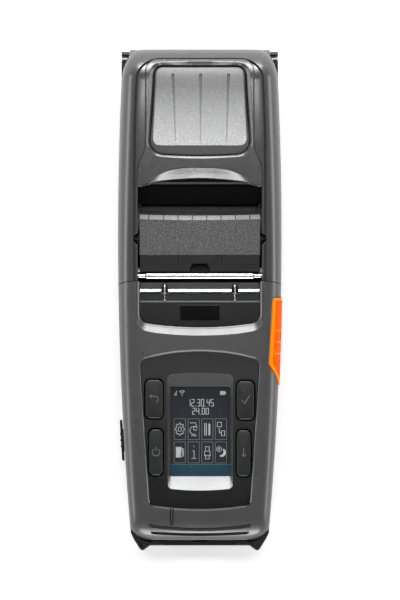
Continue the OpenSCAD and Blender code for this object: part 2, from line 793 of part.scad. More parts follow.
module head_springs() color("#c4c6c8") for (x = [-18, 0, 18])
    translate([x, bracket_y + press_gap, platen_z]) rotate([-90, 0, 0])
        coil(2, 0.3, spring_l - 2 * press_gap, 3);

bracket_half = plate_x - 1.4;
module head_bracket() color("#b0b3b5") {
    block([-bracket_half, bracket_y - bracket_t, 22], [bracket_half, bracket_y, 43.6]);
    for (x = [-24, 24]) block([x - 4, bracket_y - bracket_t, chassis_z + plate_t], [x + 4, bracket_y, 22.5]);
}

// Steel frame that carries the motor, the head bracket and the gear pins
module chassis() color("#9fa2a4") difference() {
    union() {
        for (side = [-1, 1]) translate([side * (plate_x + plate_t / 2) - plate_t / 2, 0, 0])
            block([0, chassis_y0, chassis_z], [plate_t, chassis_y1, platen_z + 0.5]);
        block([-plate_x - 0.5, chassis_y0, chassis_z], [plate_x + 0.5, chassis_y1, chassis_z + plate_t]);
    }
    rod(2.2, -plate_x - 2, 0, motor_y, motor_z);
    rod(pin_r + press_gap, -plate_x - 2, 0, idler_y, idler_z);
    rod(pin_r + press_gap, 0, plate_x + 2, hook_y, hook_z);
    for (p = standoffs) translate(p) cylinder(r = screw_r, h = 10);
}

module stepper_motor() color("#8c8f92") {
    rod(motor_d / 2, -plate_x + 0.02, -plate_x + motor_l, motor_y, motor_z);
    rod(2.1, -plate_x - plate_t + 0.1, -plate_x + 1, motor_y, motor_z);
    rod(1, gear_x - 0.6, -plate_x, motor_y, motor_z);
}

// Pins that the idler gear and the latch hook turn on
pin_r = 1.5;
module pivot_pins() color("#c8cacc") {
    rod(pin_r, gear_x - 0.6, -plate_x + 1, idler_y, idler_z);
    rod(2.6, -plate_x + press_gap, -plate_x + 1.2, idler_y, idler_z);
    rod(pin_r, plate_x - 1, hook_x + hook_t + 0.6, hook_y, hook_z);
    rod(2.6, plate_x - 1.2, plate_x - press_gap, hook_y, hook_z);
}

module hinge_pin() color("silver") rod(hinge_pin_d / 2, -ear_x, ear_x, hinge_y, hinge_z);

// Rubber corners at the screen end, which stand a little proud of the shells
module corner_bumpers() color("#161616") for (side = [-1, 1]) difference() {
    translate([0, 0, floor_z + bottom_curve_h]) linear_extrude(bumper_h) polygon([
        [side * 32, front_y + 9.4], [side * 34, front_y + 6.8], [side * 32.4, front_y + 3.4],
        [side * 29.4, front_y - bumper_proud + 0.9], [side * 28.4, front_y - bumper_proud],
        [side * 27.4, front_y - bumper_proud + 0.2],
        [side * 23.2, front_y + 1], [side * 26, front_y + 6]
    ]);
    intersection() {
        form(-press_gap);
        block([-far, -far, -far], [far, far, joint_h + press_gap]);
    }
    form(-press_gap, top_y0);
}

module rubber_feet() color("#1b1b1b") for (p = foot_places) translate([p[0], p[1], 0])
    cylinder(r = foot_d / 2, h = foot_proud + foot_sunk);

module housing_screws() color("#b4b6b8") {
    for (p = boss_places) translate([p[0], p[1], screw_head_z]) {
        cylinder(r = screw_head_r, h = screw_head_t);
        cylinder(r = screw_r - 0.35, h = joint_h + 7 - screw_head_z);
    }
    for (p = standoffs) translate([p[0], p[1], floor_z + 1]) {
        cylinder(r = screw_r - 0.35, h = chassis_z);
        translate([0, 0, chassis_z + plate_t - floor_z - 1]) cylinder(r = screw_head_r, h = screw_head_t);
    }
}

// Tunnel that the battery slides into
sleeve_half = battery_w / 2 + slide_gap;
module battery_sleeve() color("#2e2e30") difference() {
    block([-sleeve_half - sleeve_t, front_y + cap_t + slide_gap, battery_z - slide_gap - sleeve_t],
          [sleeve_half + sleeve_t, battery_y + 4, battery_z + battery_t + slide_gap + sleeve_t]);
    block([-sleeve_half, front_y, battery_z - slide_gap],
          [sleeve_half, battery_y + 2.6, battery_z + battery_t + slide_gap]);
}

module battery_contacts() color("#c9a44c") for (x = [-9, -3, 3, 9])
    block([x - 1, battery_y + 1, battery_z + 5], [x + 1, battery_y + 2.6, battery_z + 11]);

grip_r = 10;
grip_w = 18;
module battery_pack() color("#353537") {
    block([-battery_w / 2, front_y + cap_t - 0.1, battery_z],
          [battery_w / 2, battery_y, battery_z + battery_t]);
    difference() {
        block([-battery_w / 2, front_y, battery_z], [battery_w / 2, front_y + cap_t, joint_h - 0.2]);
        rod(grip_r, -grip_w / 2, grip_w / 2, front_y - grip_r + 1, battery_z + battery_t / 2);
    }
}

catch_half = 3.6;
catch_h = 3.4;
catch_travel = 1.5;
module battery_latch() color("#101010") {
    block([-catch_half, top_y0 - 1.4, joint_h + 0.3], [catch_half, top_y0 + 7, joint_h + 1.8]);
    block([-catch_half, top_y0 - 1.4, joint_h + 0.3], [catch_half, top_y0 + 0.4, joint_h + catch_h]);
}

// Data and charging sockets behind the flap
module port_block() color("#6f7376") at_flap() difference() {
    block([wall + 0.3, -port_w / 2 + 0.5, port_z + 0.5],
          [wall + 8, port_w / 2 - 0.5, port_z + port_h - 0.5]);
    block([wall - 1, -4.6, port_z + 3.2], [wall + 6, 2.8, port_z + 5.8]);
}

module port_flap() color("#141414") at_flap() {
    translate([-flap_t, 0, flap_z + flap_h / 2]) rotate([0, 90, 0]) linear_extrude(flap_t - flap_gap)
        offset(r = 2) square([flap_h - 4, flap_l - 4], center = true);
    translate([-(flap_t + flap_gap) / 2, 0, flap_z]) rotate([90, 0, 0])
        cylinder(r = (flap_t - flap_gap) / 2, h = flap_l - 6, center = true);
    block([-0.6, -port_w / 2 + 1, port_z + 1], [0.9, port_w / 2 - 1, port_z + port_h - 1]);
}

// Trough that the label roll turns in. Its end plates hold the rods of the roll guides.
rod_dy = 7.6;
module paper_cradle() color("#1d1d1e") difference() {
    union() {
        difference() {
            along_x(-cradle_half, cradle_half) difference() {
                intersection() {
                    translate([roll_y, roll_z]) circle(r = cradle_r + cradle_t);
                    translate([roll_y - far / 2, chassis_z]) square([far, 16]);
                }
                translate([roll_y, roll_z]) circle(r = cradle_r);
            }
            block([-far, roll_y - channel_w / 2, -1], [far, roll_y + channel_w / 2, rod_z + 8]);
        }
        for (side = [-1, 1]) translate([side * (cradle_half - end_t / 2) - end_t / 2, 0, 0])
            block([0, roll_y - channel_w / 2 - 1, chassis_z],
                  [end_t, roll_y + channel_w / 2 + 1, rod_z + 3]);
    }
    for (s = [-1, 1]) rod(rod_d / 2 + press_gap, -far / 2, far / 2, roll_y + s * rod_dy, rod_z);
}

module guide_rods() color("silver") for (s = [-1, 1])
    rod(rod_d / 2, -cradle_half, cradle_half, roll_y + s * rod_dy, rod_z);

module media_sensor() color("#26282a") {
    block([-6, lid_front_y + 20, 19.9], [6, lid_front_y + 28, 24]);
    block([-9, lid_front_y + 18, floor_z + wall + 0.3], [9, lid_front_y + 30, 20]);
}

// Flat cable from the print head back to the main board
cable_t = 0.35;
cable_low = chassis_z + 4.6;
cable_knee = joint_h - 12;
cable_rear = bracket_y - bracket_t - 0.1;
module head_cable() color("#d9dbdd") along_x(-11, 11) polygon([
    [cable_rear, joint_h], [cable_rear, cable_knee], [cable_rear - 3, cable_low - cable_t],
    [cable_front - cable_t, cable_low - cable_t], [cable_front - cable_t, joint_h + 1],
    [cable_front, joint_h + 1], [cable_front, cable_low], [cable_rear - 3 - cable_t, cable_low],
    [cable_rear - cable_t, cable_knee], [cable_rear - cable_t, joint_h]
]);

// Spring under the tail of the latch hook, which brings the hook and the button back
spring_r = 1.6;
spring_x = hook_x + hook_t / 2;
spring_y = hook_y - 9;
spring_z = floor_z + wall + 3.6;
module button_spring() color("#c4c6c8") translate([spring_x, spring_y, spring_z])
    coil(spring_r, 0.3, hook_z + 2.4 - spring_z - press_gap, 8);

// Upper rear clamshell: side rails, rear arch, webs and hinge barrel
ledge_w = 2;
seal_lip = 0.6;
frame_depth = cover_t + 0.15 + ledge_t;
barrel_half = ear_in_x - 0.5;
web_mid = mouth_half + web_t / 2;
module web_hole(r, y, z) for (side = [-1, 1]) rod(r, side * web_mid - web_t, side * web_mid + web_t, y, z);

module lid_frame() color("#434345") difference() {
    union() {
        difference() {
            form();
            difference() {
                form(frame_depth);
                for (side = [-1, 1]) translate([side * web_mid - web_t / 2, 0, 0])
                    block([0, lid_front_y, 30], [web_t, cover_wide_y, far]);
            }
            lid_cuts();
        }
        rod(barrel_r, -barrel_half, barrel_half, hinge_y, hinge_z);
        block([-barrel_half, hinge_y, hinge_z], [barrel_half, hinge_y + barrel_r - 0.6, joint_h + 2]);
    }
    rod(hinge_pin_d / 2 + shaft_gap, -far / 2, far / 2, hinge_y, hinge_z);
    web_hole(bush_r + 0.04, platen_y, platen_z);
    web_hole(neck_r + shaft_gap, peel_y, peel_z);
    web_hole(pivot_d / 2 + shaft_gap, pivot_y, pivot_z);
    web_hole(bar_d / 2 + press_gap, bar_y, bar_z);
    rod(latch_pin_r + press_gap, mouth_half - 1, web_x + 1, latch_y, latch_z);
    rod(platen_r + gear_module + 0.5, gear_x - 0.5, -web_x - 0.01, platen_y, platen_z);
}

// What the lid frame leaves to the base, the front housing, the mouth, the ears and the cover
module lid_cuts() {
    block([-far, -far, -far], [far, far, joint_h + shell_gap]);
    block([-far, -far, -far], [far, lid_gap_y, far]);
    block([-mouth_half, lid_front_y - 1, -far], [mouth_half, cover_front_y + 1, far]);
    block([ledge_w - mouth_half, cover_front_y, -far],
          [mouth_half - ledge_w, cover_front_y + ledge_w + 1, far]);
    for (side = [-1, 1]) translate([side * (ear_in_x + far / 2), rear_y, 0])
        block([-far / 2 - 0.5, -1 - ear_l - 0.6, -far], [far / 2 + 0.5, 2, joint_h + 1.4]);
    difference() {
        column() cover_shape(seam);
        form(cover_t + 0.15);
    }
    column() cover_shape(-ledge_w);
    column() window_shape(seal_w + seal_lip + seam);
}

lip_half = mouth_half - ledge_w - 1.4;
module lid_cover() color("#505052") difference() {
    union() {
        skin(0, cover_t) cover_shape();
        intersection() {
            form(1);
            block([-lip_half, cover_front_y, lip_top - lip_h], [lip_half, cover_front_y + lip_l, far]);
        }
    }
    column() window_shape(seal_w);
    loft([
        scoop_ring(scoop_l, lip_top - lip_h - 1),
        scoop_ring(scoop_l, lip_top - scoop_bevel_h),
        scoop_ring(scoop_l + 2 * scoop_bevel_l, lip_top + scoop_bevel_h)
    ]);
}

module lid_window() color("#b9bbbd") skin(cover_t - window_t, cover_t) window_shape();

// Gasket round the window, bonded under the cover
module window_seal() color("#0f0f10") {
    skin(cover_t - 0.9, cover_t + 0.1) difference() {
        window_shape(seal_w - 0.05);
        window_shape(0.05);
    }
    skin(cover_t + 0.05, cover_t + 1.2) difference() {
        window_shape(seal_w + seal_lip);
        window_shape(-1.5);
    }
}

// Inner panel that closes the lid behind the peeler
liner_top = lip_top - lip_h - 3.45;
module lid_liner() color("#1a1a1b") along_x(-mouth_half + 0.2, mouth_half - 0.2) polygon([
    [bar_y + 2, bar_z - 6], [bar_y + 3, bar_z - 6.6], [cover_front_y + 4, liner_top - 3.5],
    [cover_front_y + 5, liner_top], [cover_front_y + 4, liner_top], [cover_front_y + 2.8, liner_top - 2.2]
]);

bush_r = 3.96;
module platen_bushes() color("#c2a878") for (side = [-1, 1]) difference() {
    rod(bush_r, side * web_mid - web_t / 2, side * web_mid + web_t / 2, platen_y, platen_z);
    rod(platen_shaft_d / 2 + shaft_gap, -far / 2, far / 2, platen_y, platen_z);
}

module guide_bar() color("#232324") rod(bar_d / 2, -web_x, web_x, bar_y, bar_z);

module latch_pin() color("silver") rod(latch_pin_r, mouth_half + 0.1, hook_x + hook_t, latch_y, latch_z);

module platen_shaft() color("silver")
    rod(platen_shaft_d / 2, gear_x, web_x + 1.4, platen_y, platen_z);

module platen_rubber() color("#1e1e1f") difference() {
    rod(platen_d / 2, -roller_l / 2, roller_l / 2, platen_y, platen_z);
    rod(platen_shaft_d / 2 + 0.01, -far / 2, far / 2, platen_y, platen_z);
}

// Drive gear centred on an axis along X, turned so that its teeth mesh
module drive_gear(teeth, turn, bore_r, y, z) difference() {
    translate([0, y, z]) rotate([turn, 0, 0])
        along_x(gear_x, gear_x + gear_w) gear_shape(teeth, gear_module);
    rod(bore_r, -far / 2, far / 2, y, z);
}

module platen_gear() color("#e4e0d2")
    drive_gear(platen_teeth, platen_turn, platen_shaft_d / 2 + 0.01, platen_y, platen_z);

module idler_gear() color("#e4e0d2")
    drive_gear(idler_teeth, idler_turn, pin_r + shaft_gap, idler_y, idler_z);

module motor_pinion() color("#c9b070")
    drive_gear(pinion_teeth, pinion_turn, 1 + shaft_gap, motor_y, motor_z);

neck_r = 1;
module peel_roller() color("silver") {
    rod(peel_roller_d / 2, -mouth_half + peel_neck, mouth_half - peel_neck, peel_y, peel_z);
    rod(neck_r, -web_x, web_x, peel_y, peel_z);
}

// Ribbed peeler cover with its stepped skirt and finger notch
rib_pitch = 2 * peeler_half / rib_count;
edge_bevel = 2.1;
groove_w = 0.5;
module peeler_cover() color("#3a3a3b") difference() {
    union() {
        along_x(-peeler_half, peeler_half) polygon([
            [peeler_y0, peeler_bottom], [peeler_y1, peeler_bottom], [peeler_y1, peeler_top - edge_bevel],
            [peeler_y1 - edge_bevel, peeler_top], [peeler_y0, peeler_top]
        ]);
        block([-peeler_half, peeler_y0 - skirt_l, peeler_bottom + 1],
              [peeler_half, peeler_y0 + 1, peeler_top - 2.6]);
        for (side = [-1, 1]) translate([side * (peeler_half - 10), 0, 0])
            block([-9.6, peeler_y0 - 4.4, peeler_top - 3], [9.6, peeler_y0 + 0.5, peeler_top - 1.6]);
    }
    for (i = [1 : rib_count - 1]) translate([-peeler_half + i * rib_pitch, 0, 0])
        block([-groove_w / 2, peeler_y0 + 0.8, peeler_top - 0.5],
              [groove_w / 2, peeler_y1 + 1, peeler_top + 1]);
    translate([0, peeler_y0 - skirt_l, peeler_bottom]) linear_extrude(far)
        polygon([[-4.8, -1], [-4.8, 2], [-3.6, 4.4], [3.6, 4.4], [4.8, 2], [4.8, -1]]);
}

// Arms under the cover, with the pivots that turn in the webs
arm_t = 1;
arm_x = peeler_half - arm_t;
pinch_neck_r = 0.8;
module peeler_frame() color("#2a2a2b") difference() {
    union() {
        for (side = [-1, 1]) {
            translate([side * (arm_x + arm_t / 2) - arm_t / 2, 0, 0]) along_x(0, arm_t) hull() {
                translate([pivot_y, pivot_z - 1.4]) circle(r = 2.5);
                translate([pinch_y, pinch_z]) circle(r = 2);
            }
            rod(pivot_d / 2, min(side * arm_x, side * web_x), max(side * arm_x, side * web_x),
                pivot_y, pivot_z);
        }
        block([-peeler_half + 0.5, pivot_y + 0.5, peeler_bottom - 1.4],
              [peeler_half - 0.5, pivot_y + 3.6, peeler_bottom - press_gap]);
    }
    block([-peeler_half - 0.001, -far, peeler_bottom - press_gap], [peeler_half + 0.001, far, far]);
    rod(pinch_neck_r + shaft_gap, -far / 2, far / 2, pinch_y, pinch_z);
}

module pinch_roller() color("#242425") {
    rod(pinch_d / 2, 0.3 - arm_x, arm_x - 0.3, pinch_y, pinch_z);
    rod(pinch_neck_r, -peeler_half, peeler_half, pinch_y, pinch_z);
}

// Orange release button, whose leg pushes on the tail of the latch hook
leg_root = 0.3;
module release_button() color("#ff6a0a") {
    intersection() {
        difference() {
            form(-0.4);
            form(button_t);
        }
        at_button() translate([0, 0, -14]) linear_extrude(34) button_shape(0);
    }
    block([hook_x + 0.6, hook_y - 10.6, hook_z + 5.6], [button_x + leg_root, hook_y - 7.6, button_z]);
}

// Hook that holds the lid by its latch pin
module latch_hook() color("#a9acae") difference() {
    along_x(hook_x, hook_x + hook_t) polygon([
        [hook_y - 3.4, hook_z - 2.6], [hook_y + 2.8, hook_z - 3], [hook_y + 4.2, latch_z + 2],
        [latch_y - latch_pin_r - nose_gap, latch_z + 2.4], [latch_y - latch_pin_r - nose_gap, latch_z + 4.4],
        [hook_y + 0.4, latch_z + 5.2], [hook_y - 1.6, hook_z + 6.6], [hook_y - 3, hook_z + 5],
        [hook_y - 11, hook_z + 5],
        [hook_y - 11, hook_z + 2.4], [hook_y - 3.4, hook_z + 2]
    ]);
    rod(pin_r + shaft_gap, 0, far / 2, hook_y, hook_z);
}

// One roll guide: disc, arm, foot and rack. Side is -1 on the left and 1 on the right.
hub_r = 6;
hub_t = 3;
arm_half = 9;
foot_w = 5;
module roll_guide(side) {
    x0 = side * guide_open_w / 2;
    x1 = x0 - side * guide_t;
    x2 = x1 - side * hub_t;
    rack_y = roll_y - side * (centring_r + 0.15);
    foot_y = rack_y - side * foot_w;
    difference() {
        union() {
            rod(guide_disc_d / 2, min(x0, x1), max(x0, x1), roll_y, roll_z);
            rod(hub_r, min(x1, x2), max(x1, x2), roll_y, roll_z);
            block([min(x0, x1), roll_y - arm_half, rack_z + rack_t + 0.4],
                  [max(x0, x1), roll_y + arm_half, roll_z]);
            for (s = [-1, 1])
                rod(rod_d / 2 + sleeve_wall, min(x0, x2), max(x0, x2), roll_y + s * rod_dy, rod_z);
            block([min(x0, x1), min(rack_y, foot_y), rack_z], [max(x0, x1), max(rack_y, foot_y), rod_z]);
            rack(x0, side, rack_y);
        }
        for (s = [-1, 1]) rod(rod_d / 2 + shaft_gap, -far / 2, far / 2, roll_y + s * rod_dy, rod_z);
    }
}

// Straight rack from the foot of a guide towards and past the centring pinion
rack_end = 10;
rack_back = 2;
module rack(x0, side, y) {
    pitch = PI * rack_module;
    root_y = y - side * 1.2 * rack_module;
    back_y = root_y - side * rack_back;
    block([min(x0, -side * rack_end), min(root_y, back_y), rack_z],
          [max(x0, -side * rack_end), max(root_y, back_y), rack_z + rack_t]);
    for (i = [-3 : 5]) translate([side * (i + 0.5) * pitch, 0, rack_z]) linear_extrude(rack_t) polygon([
        [-0.29 * pitch, root_y - side * 0.05], [0.29 * pitch, root_y - side * 0.05],
        [0.1 * pitch, y + side * 0.8 * rack_module], [-0.1 * pitch, y + side * 0.8 * rack_module]
    ]);
}

module left_roll_guide() color("#303032") roll_guide(-1);
module right_roll_guide() color("#303032") roll_guide(1);

module centring_pinion() color("#e4e0d2") translate([0, roll_y, rack_z])
    linear_extrude(rack_t) difference() {
        gear_shape(centring_teeth, rack_module);
        circle(r = post_r + shaft_gap);
    }

// One key: cap, flange under the panel and stem over its switch
module key_piece(k) on_deck(panel_rear_y) {
    under = panel_depth + panel_t + 0.5;
    hull() {
        slab(panel_depth - key_proud + 0.6, under) key_shape(k, 0);
        slab(panel_depth - key_proud, under) key_shape(k, -0.7);
    }
    slab(under - 0.2, under + 0.7) key_shape(k, key_flange);
    translate([k[1] * key_pitch / 2, k[2] - k[3] / 2, -board_depth + switch_h + key_travel + 0.3])
        cylinder(r = 1.6, h = board_depth - panel_depth - panel_t - switch_h - key_travel - 0.6);
}

module back_key() color("#333334") key_piece(keys[0]);
module ok_key() color("#333334") key_piece(keys[1]);
module power_key() color("#333334") key_piece(keys[2]);
module feed_key() color("#333334") key_piece(keys[3]);

base_housing();
front_housing();
control_panel();
screen_lens();
lcd_module();
main_board();
key_switches();
trim_panel();
badge_plate();
tear_plate();
wire_guides();
print_head();
heat_sink();
head_springs();
head_bracket();
chassis();
stepper_motor();
pivot_pins();
hinge_pin();
corner_bumpers();
rubber_feet();
battery_sleeve();
battery_contacts();
port_block();
paper_cradle();
guide_rods();
housing_screws();
board_screws();
head_cable();
button_spring();
media_sensor();
lid_frame();
lid_cover();
lid_window();
window_seal();
lid_liner();
platen_bushes();
guide_bar();
latch_pin();
platen_shaft();
platen_rubber();
platen_gear();
peel_roller();
peeler_cover();
peeler_frame();
pinch_roller();
release_button();
latch_hook();
idler_gear();
motor_pinion();
left_roll_guide();
right_roll_guide();
centring_pinion();
back_key();
ok_key();
power_key();
feed_key();
port_flap();
battery_pack();
battery_latch();
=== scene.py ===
"""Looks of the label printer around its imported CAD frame. Lengths are in millimetres until a mesh is made."""
import math

import bmesh
import bpy
from mathutils import Matrix, Vector


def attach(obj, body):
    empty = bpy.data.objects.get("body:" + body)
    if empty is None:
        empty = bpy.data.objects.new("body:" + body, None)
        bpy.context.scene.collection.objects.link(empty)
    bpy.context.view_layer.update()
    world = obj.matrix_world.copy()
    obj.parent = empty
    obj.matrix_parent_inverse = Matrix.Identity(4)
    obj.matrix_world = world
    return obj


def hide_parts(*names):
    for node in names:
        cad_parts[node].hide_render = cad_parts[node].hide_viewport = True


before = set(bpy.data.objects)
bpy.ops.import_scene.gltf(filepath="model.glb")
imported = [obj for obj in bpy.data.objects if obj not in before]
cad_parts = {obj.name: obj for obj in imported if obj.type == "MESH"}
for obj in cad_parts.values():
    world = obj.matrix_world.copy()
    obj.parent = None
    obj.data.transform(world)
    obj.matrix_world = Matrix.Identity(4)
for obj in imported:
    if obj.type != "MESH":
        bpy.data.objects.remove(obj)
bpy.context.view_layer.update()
MM = 0.001
MERGE = 0.004 * MM
BEVEL_FROM = math.radians(34)
scene = bpy.context.scene

# --- camera, light and floor
PX_PER_MM, PHOTO_HEIGHT_PX = 2.05, 600
CAM_DISTANCE = 6000
DECK_PLANE = 50


def add(name, data):
    ob = bpy.data.objects.new(name, data)
    scene.collection.objects.link(ob)
    return ob


cam_data = bpy.data.cameras.new("photo_camera")
cam_data.sensor_width = 36
cam_data.lens = cam_data.sensor_width * PX_PER_MM * CAM_DISTANCE / PHOTO_HEIGHT_PX
cam_data.clip_end = 20
cam = add("photo_camera", cam_data)
cam.location = (0.1 * MM, 0, (DECK_PLANE + CAM_DISTANCE) * MM)
scene.camera = cam
scene.view_settings.view_transform = "Standard"


def softbox(name, direction, radiance, width, height, distance, centre_z):
    """Upright area light at `distance` along the horizontal direction, facing the object."""
    data = bpy.data.lights.new(name, "AREA")
    data.shape = "RECTANGLE"
    data.size, data.size_y = width, height
    data.energy = radiance * math.pi * width * height
    ob = add(name, data)
    ob.location = Vector(direction) * distance + Vector((0, 0, centre_z))
    aim = Vector((0, 0, 0.04)) - ob.location
    ob.rotation_euler = aim.to_track_quat("-Z", "Y").to_euler()
    ob.visible_camera = False


softbox("softbox_rear", (0, 1, 0), 13, 1.5, 0.7, 1.7, 0.42)
softbox("softbox_front", (0, -1, 0), 9, 1.5, 0.6, 1.7, 0.44)
softbox("softbox_left", (-1, 0, 0), 3, 1.5, 0.6, 1.7, 0.42)
softbox("softbox_right", (1, 0, 0), 3, 1.5, 0.6, 1.7, 0.42)
softbox("strip_overhead", (0, 0.17, 0), 9, 1.1, 0.14, 1, 1.1)
softbox("strip_high_rear", (0, 1, 0), 8, 1.5, 0.2, 1.7, 1.15)


def node(nt, kind, inputs=None, **settings):
    """New shader node. Inputs are values or the output sockets that feed them."""
    made = nt.nodes.new("ShaderNode" + kind)
    for key, value in settings.items():
        setattr(made, key, value)
    for key, value in (inputs or {}).items():
        if isinstance(value, bpy.types.NodeSocket):
            nt.links.new(value, made.inputs[key])
        else:
            made.inputs[key].default_value = value
    return made


def ranged(nt, value, low, high, start=0.2, end=0.8):
    """The value's range from start to end, stretched to low and high."""
    return node(nt, "MapRange", {"Value": value, "From Min": start, "From Max": end,
                                 "To Min": low, "To Max": high}).outputs["Result"]


def seen_ray(nt):
    """1 for rays that show the background itself: camera and transmission."""
    path = node(nt, "LightPath").outputs
    rays = {0: path["Is Camera Ray"], 1: path["Is Transmission Ray"]}
    return node(nt, "Math", rays, operation="MAXIMUM").outputs[0]


def world_light(low, high):
    """White where it is seen. Its light falls from low at the horizon to high overhead."""
    scene.world = bpy.data.worlds.new("studio")
    scene.world.use_nodes = True
    nt = scene.world.node_tree
    nt.nodes.clear()
    axes = node(nt, "SeparateXYZ", {0: node(nt, "TexCoord").outputs["Generated"]})
    dim = node(nt, "Background", {"Strength": ranged(nt, axes.outputs["Z"], low, high, 0.1, 0.9)})
    white = node(nt, "Background", {"Color": (1, 1, 1, 1)})
    mix = node(nt, "MixShader", {0: seen_ray(nt), 1: dim.outputs[0], 2: white.outputs[0]})
    node(nt, "OutputWorld", {0: mix.outputs[0]})


world_light(0.5, 0.04)


def make_floor():
    half = 2.5
    me = bpy.data.meshes.new("floor")
    me.from_pydata([(-half, -half, 0), (half, -half, 0), (half, half, 0), (-half, half, 0)], [], [(0, 1, 2, 3)])
    mat = bpy.data.materials.new("floor_paper")
    mat.use_nodes = True
    nt = mat.node_tree
    nt.nodes.clear()
    diffuse = node(nt, "BsdfDiffuse", {"Color": (0.86, 0.86, 0.86, 1)})
    gain = node(nt, "Math", {0: seen_ray(nt), 1: 0.42}, operation="MULTIPLY")
    glow = node(nt, "Emission", {"Strength": gain.outputs[0]})
    both = node(nt, "AddShader", {0: diffuse.outputs[0], 1: glow.outputs[0]})
    node(nt, "OutputMaterial", {0: both.outputs[0]})
    me.materials.append(mat)
    ob = add("floor", me)


make_floor()


# --- materials
def material(name, color, rough, grain=0, metal=0, grain_scale=900, blotch=0.035, rough_var=0.035,
             specular=0.5, streak=None, fleck=0, wear=0.12, painted_light_along_y=None, tint=None):
    """Finish with soft blotches, fine grain, uneven roughness, worn edges, flecks, and light and shade painted
    as a colour change along Y.
    """
    mat = bpy.data.materials.new(name)
    mat.use_nodes = True
    nt = mat.node_tree
    bsdf = nt.nodes["Principled BSDF"]
    bsdf.inputs["Metallic"].default_value = metal
    bsdf.inputs["Specular IOR Level"].default_value = specular
    if tint:
        bsdf.inputs["Specular Tint"].default_value = (*tint, 1)
    where = node(nt, "TexCoord").outputs["Object"]

    def noise(scale, detail=3, stretch=None):
        source = node(nt, "Mapping", {"Vector": where, "Scale": stretch}).outputs[0] if stretch else where
        return node(nt, "TexNoise", {"Vector": source, "Scale": scale, "Detail": detail}).outputs["Fac"]

    def mixed(factor, a, b):
        """A is a colour or a socket, b a colour. Sockets 6 and 7 of the node are its two colours."""
        a = (*a, 1) if isinstance(a, tuple) else a
        return node(nt, "Mix", {"Factor": factor, 6: a, 7: (*b, 1)}, data_type="RGBA").outputs[2]

    def scaled(gain, lift=0):
        return tuple(min(1, c * gain + lift) for c in color)

    base = mixed(ranged(nt, noise(38), 0, 1), scaled(1 - blotch), scaled(1 + blotch))
    if wear:
        edge = node(nt, "NewGeometry").outputs["Pointiness"]
        base = mixed(ranged(nt, edge, 0, wear, 0.51, 0.6), base, scaled(1.35, 0.01))
    if fleck:
        base = mixed(ranged(nt, noise(grain_scale, 1), 0, 1, 0.45, 0.75), base, scaled(1, fleck))
    # Painted light and shade: the base colour moves towards another tone along the object's Y.
    if painted_light_along_y:
        start, end, painted_tone, amount = painted_light_along_y
        along = node(nt, "SeparateXYZ", {0: where}).outputs["Y"]
        base = mixed(ranged(nt, along, 0, amount, start * MM, end * MM), base, painted_tone)
    nt.links.new(base, bsdf.inputs["Base Color"])
    uneven = ranged(nt, noise(120, 2, streak), max(0.03, rough - rough_var), min(1, rough + rough_var))
    nt.links.new(uneven, bsdf.inputs["Roughness"])
    if grain:
        height = noise(grain_scale, 2, streak)
        bump = node(nt, "Bump", {"Strength": grain, "Distance": 0.0002, "Height": height})
        nt.links.new(bump.outputs[0], bsdf.inputs["Normal"])
    return mat


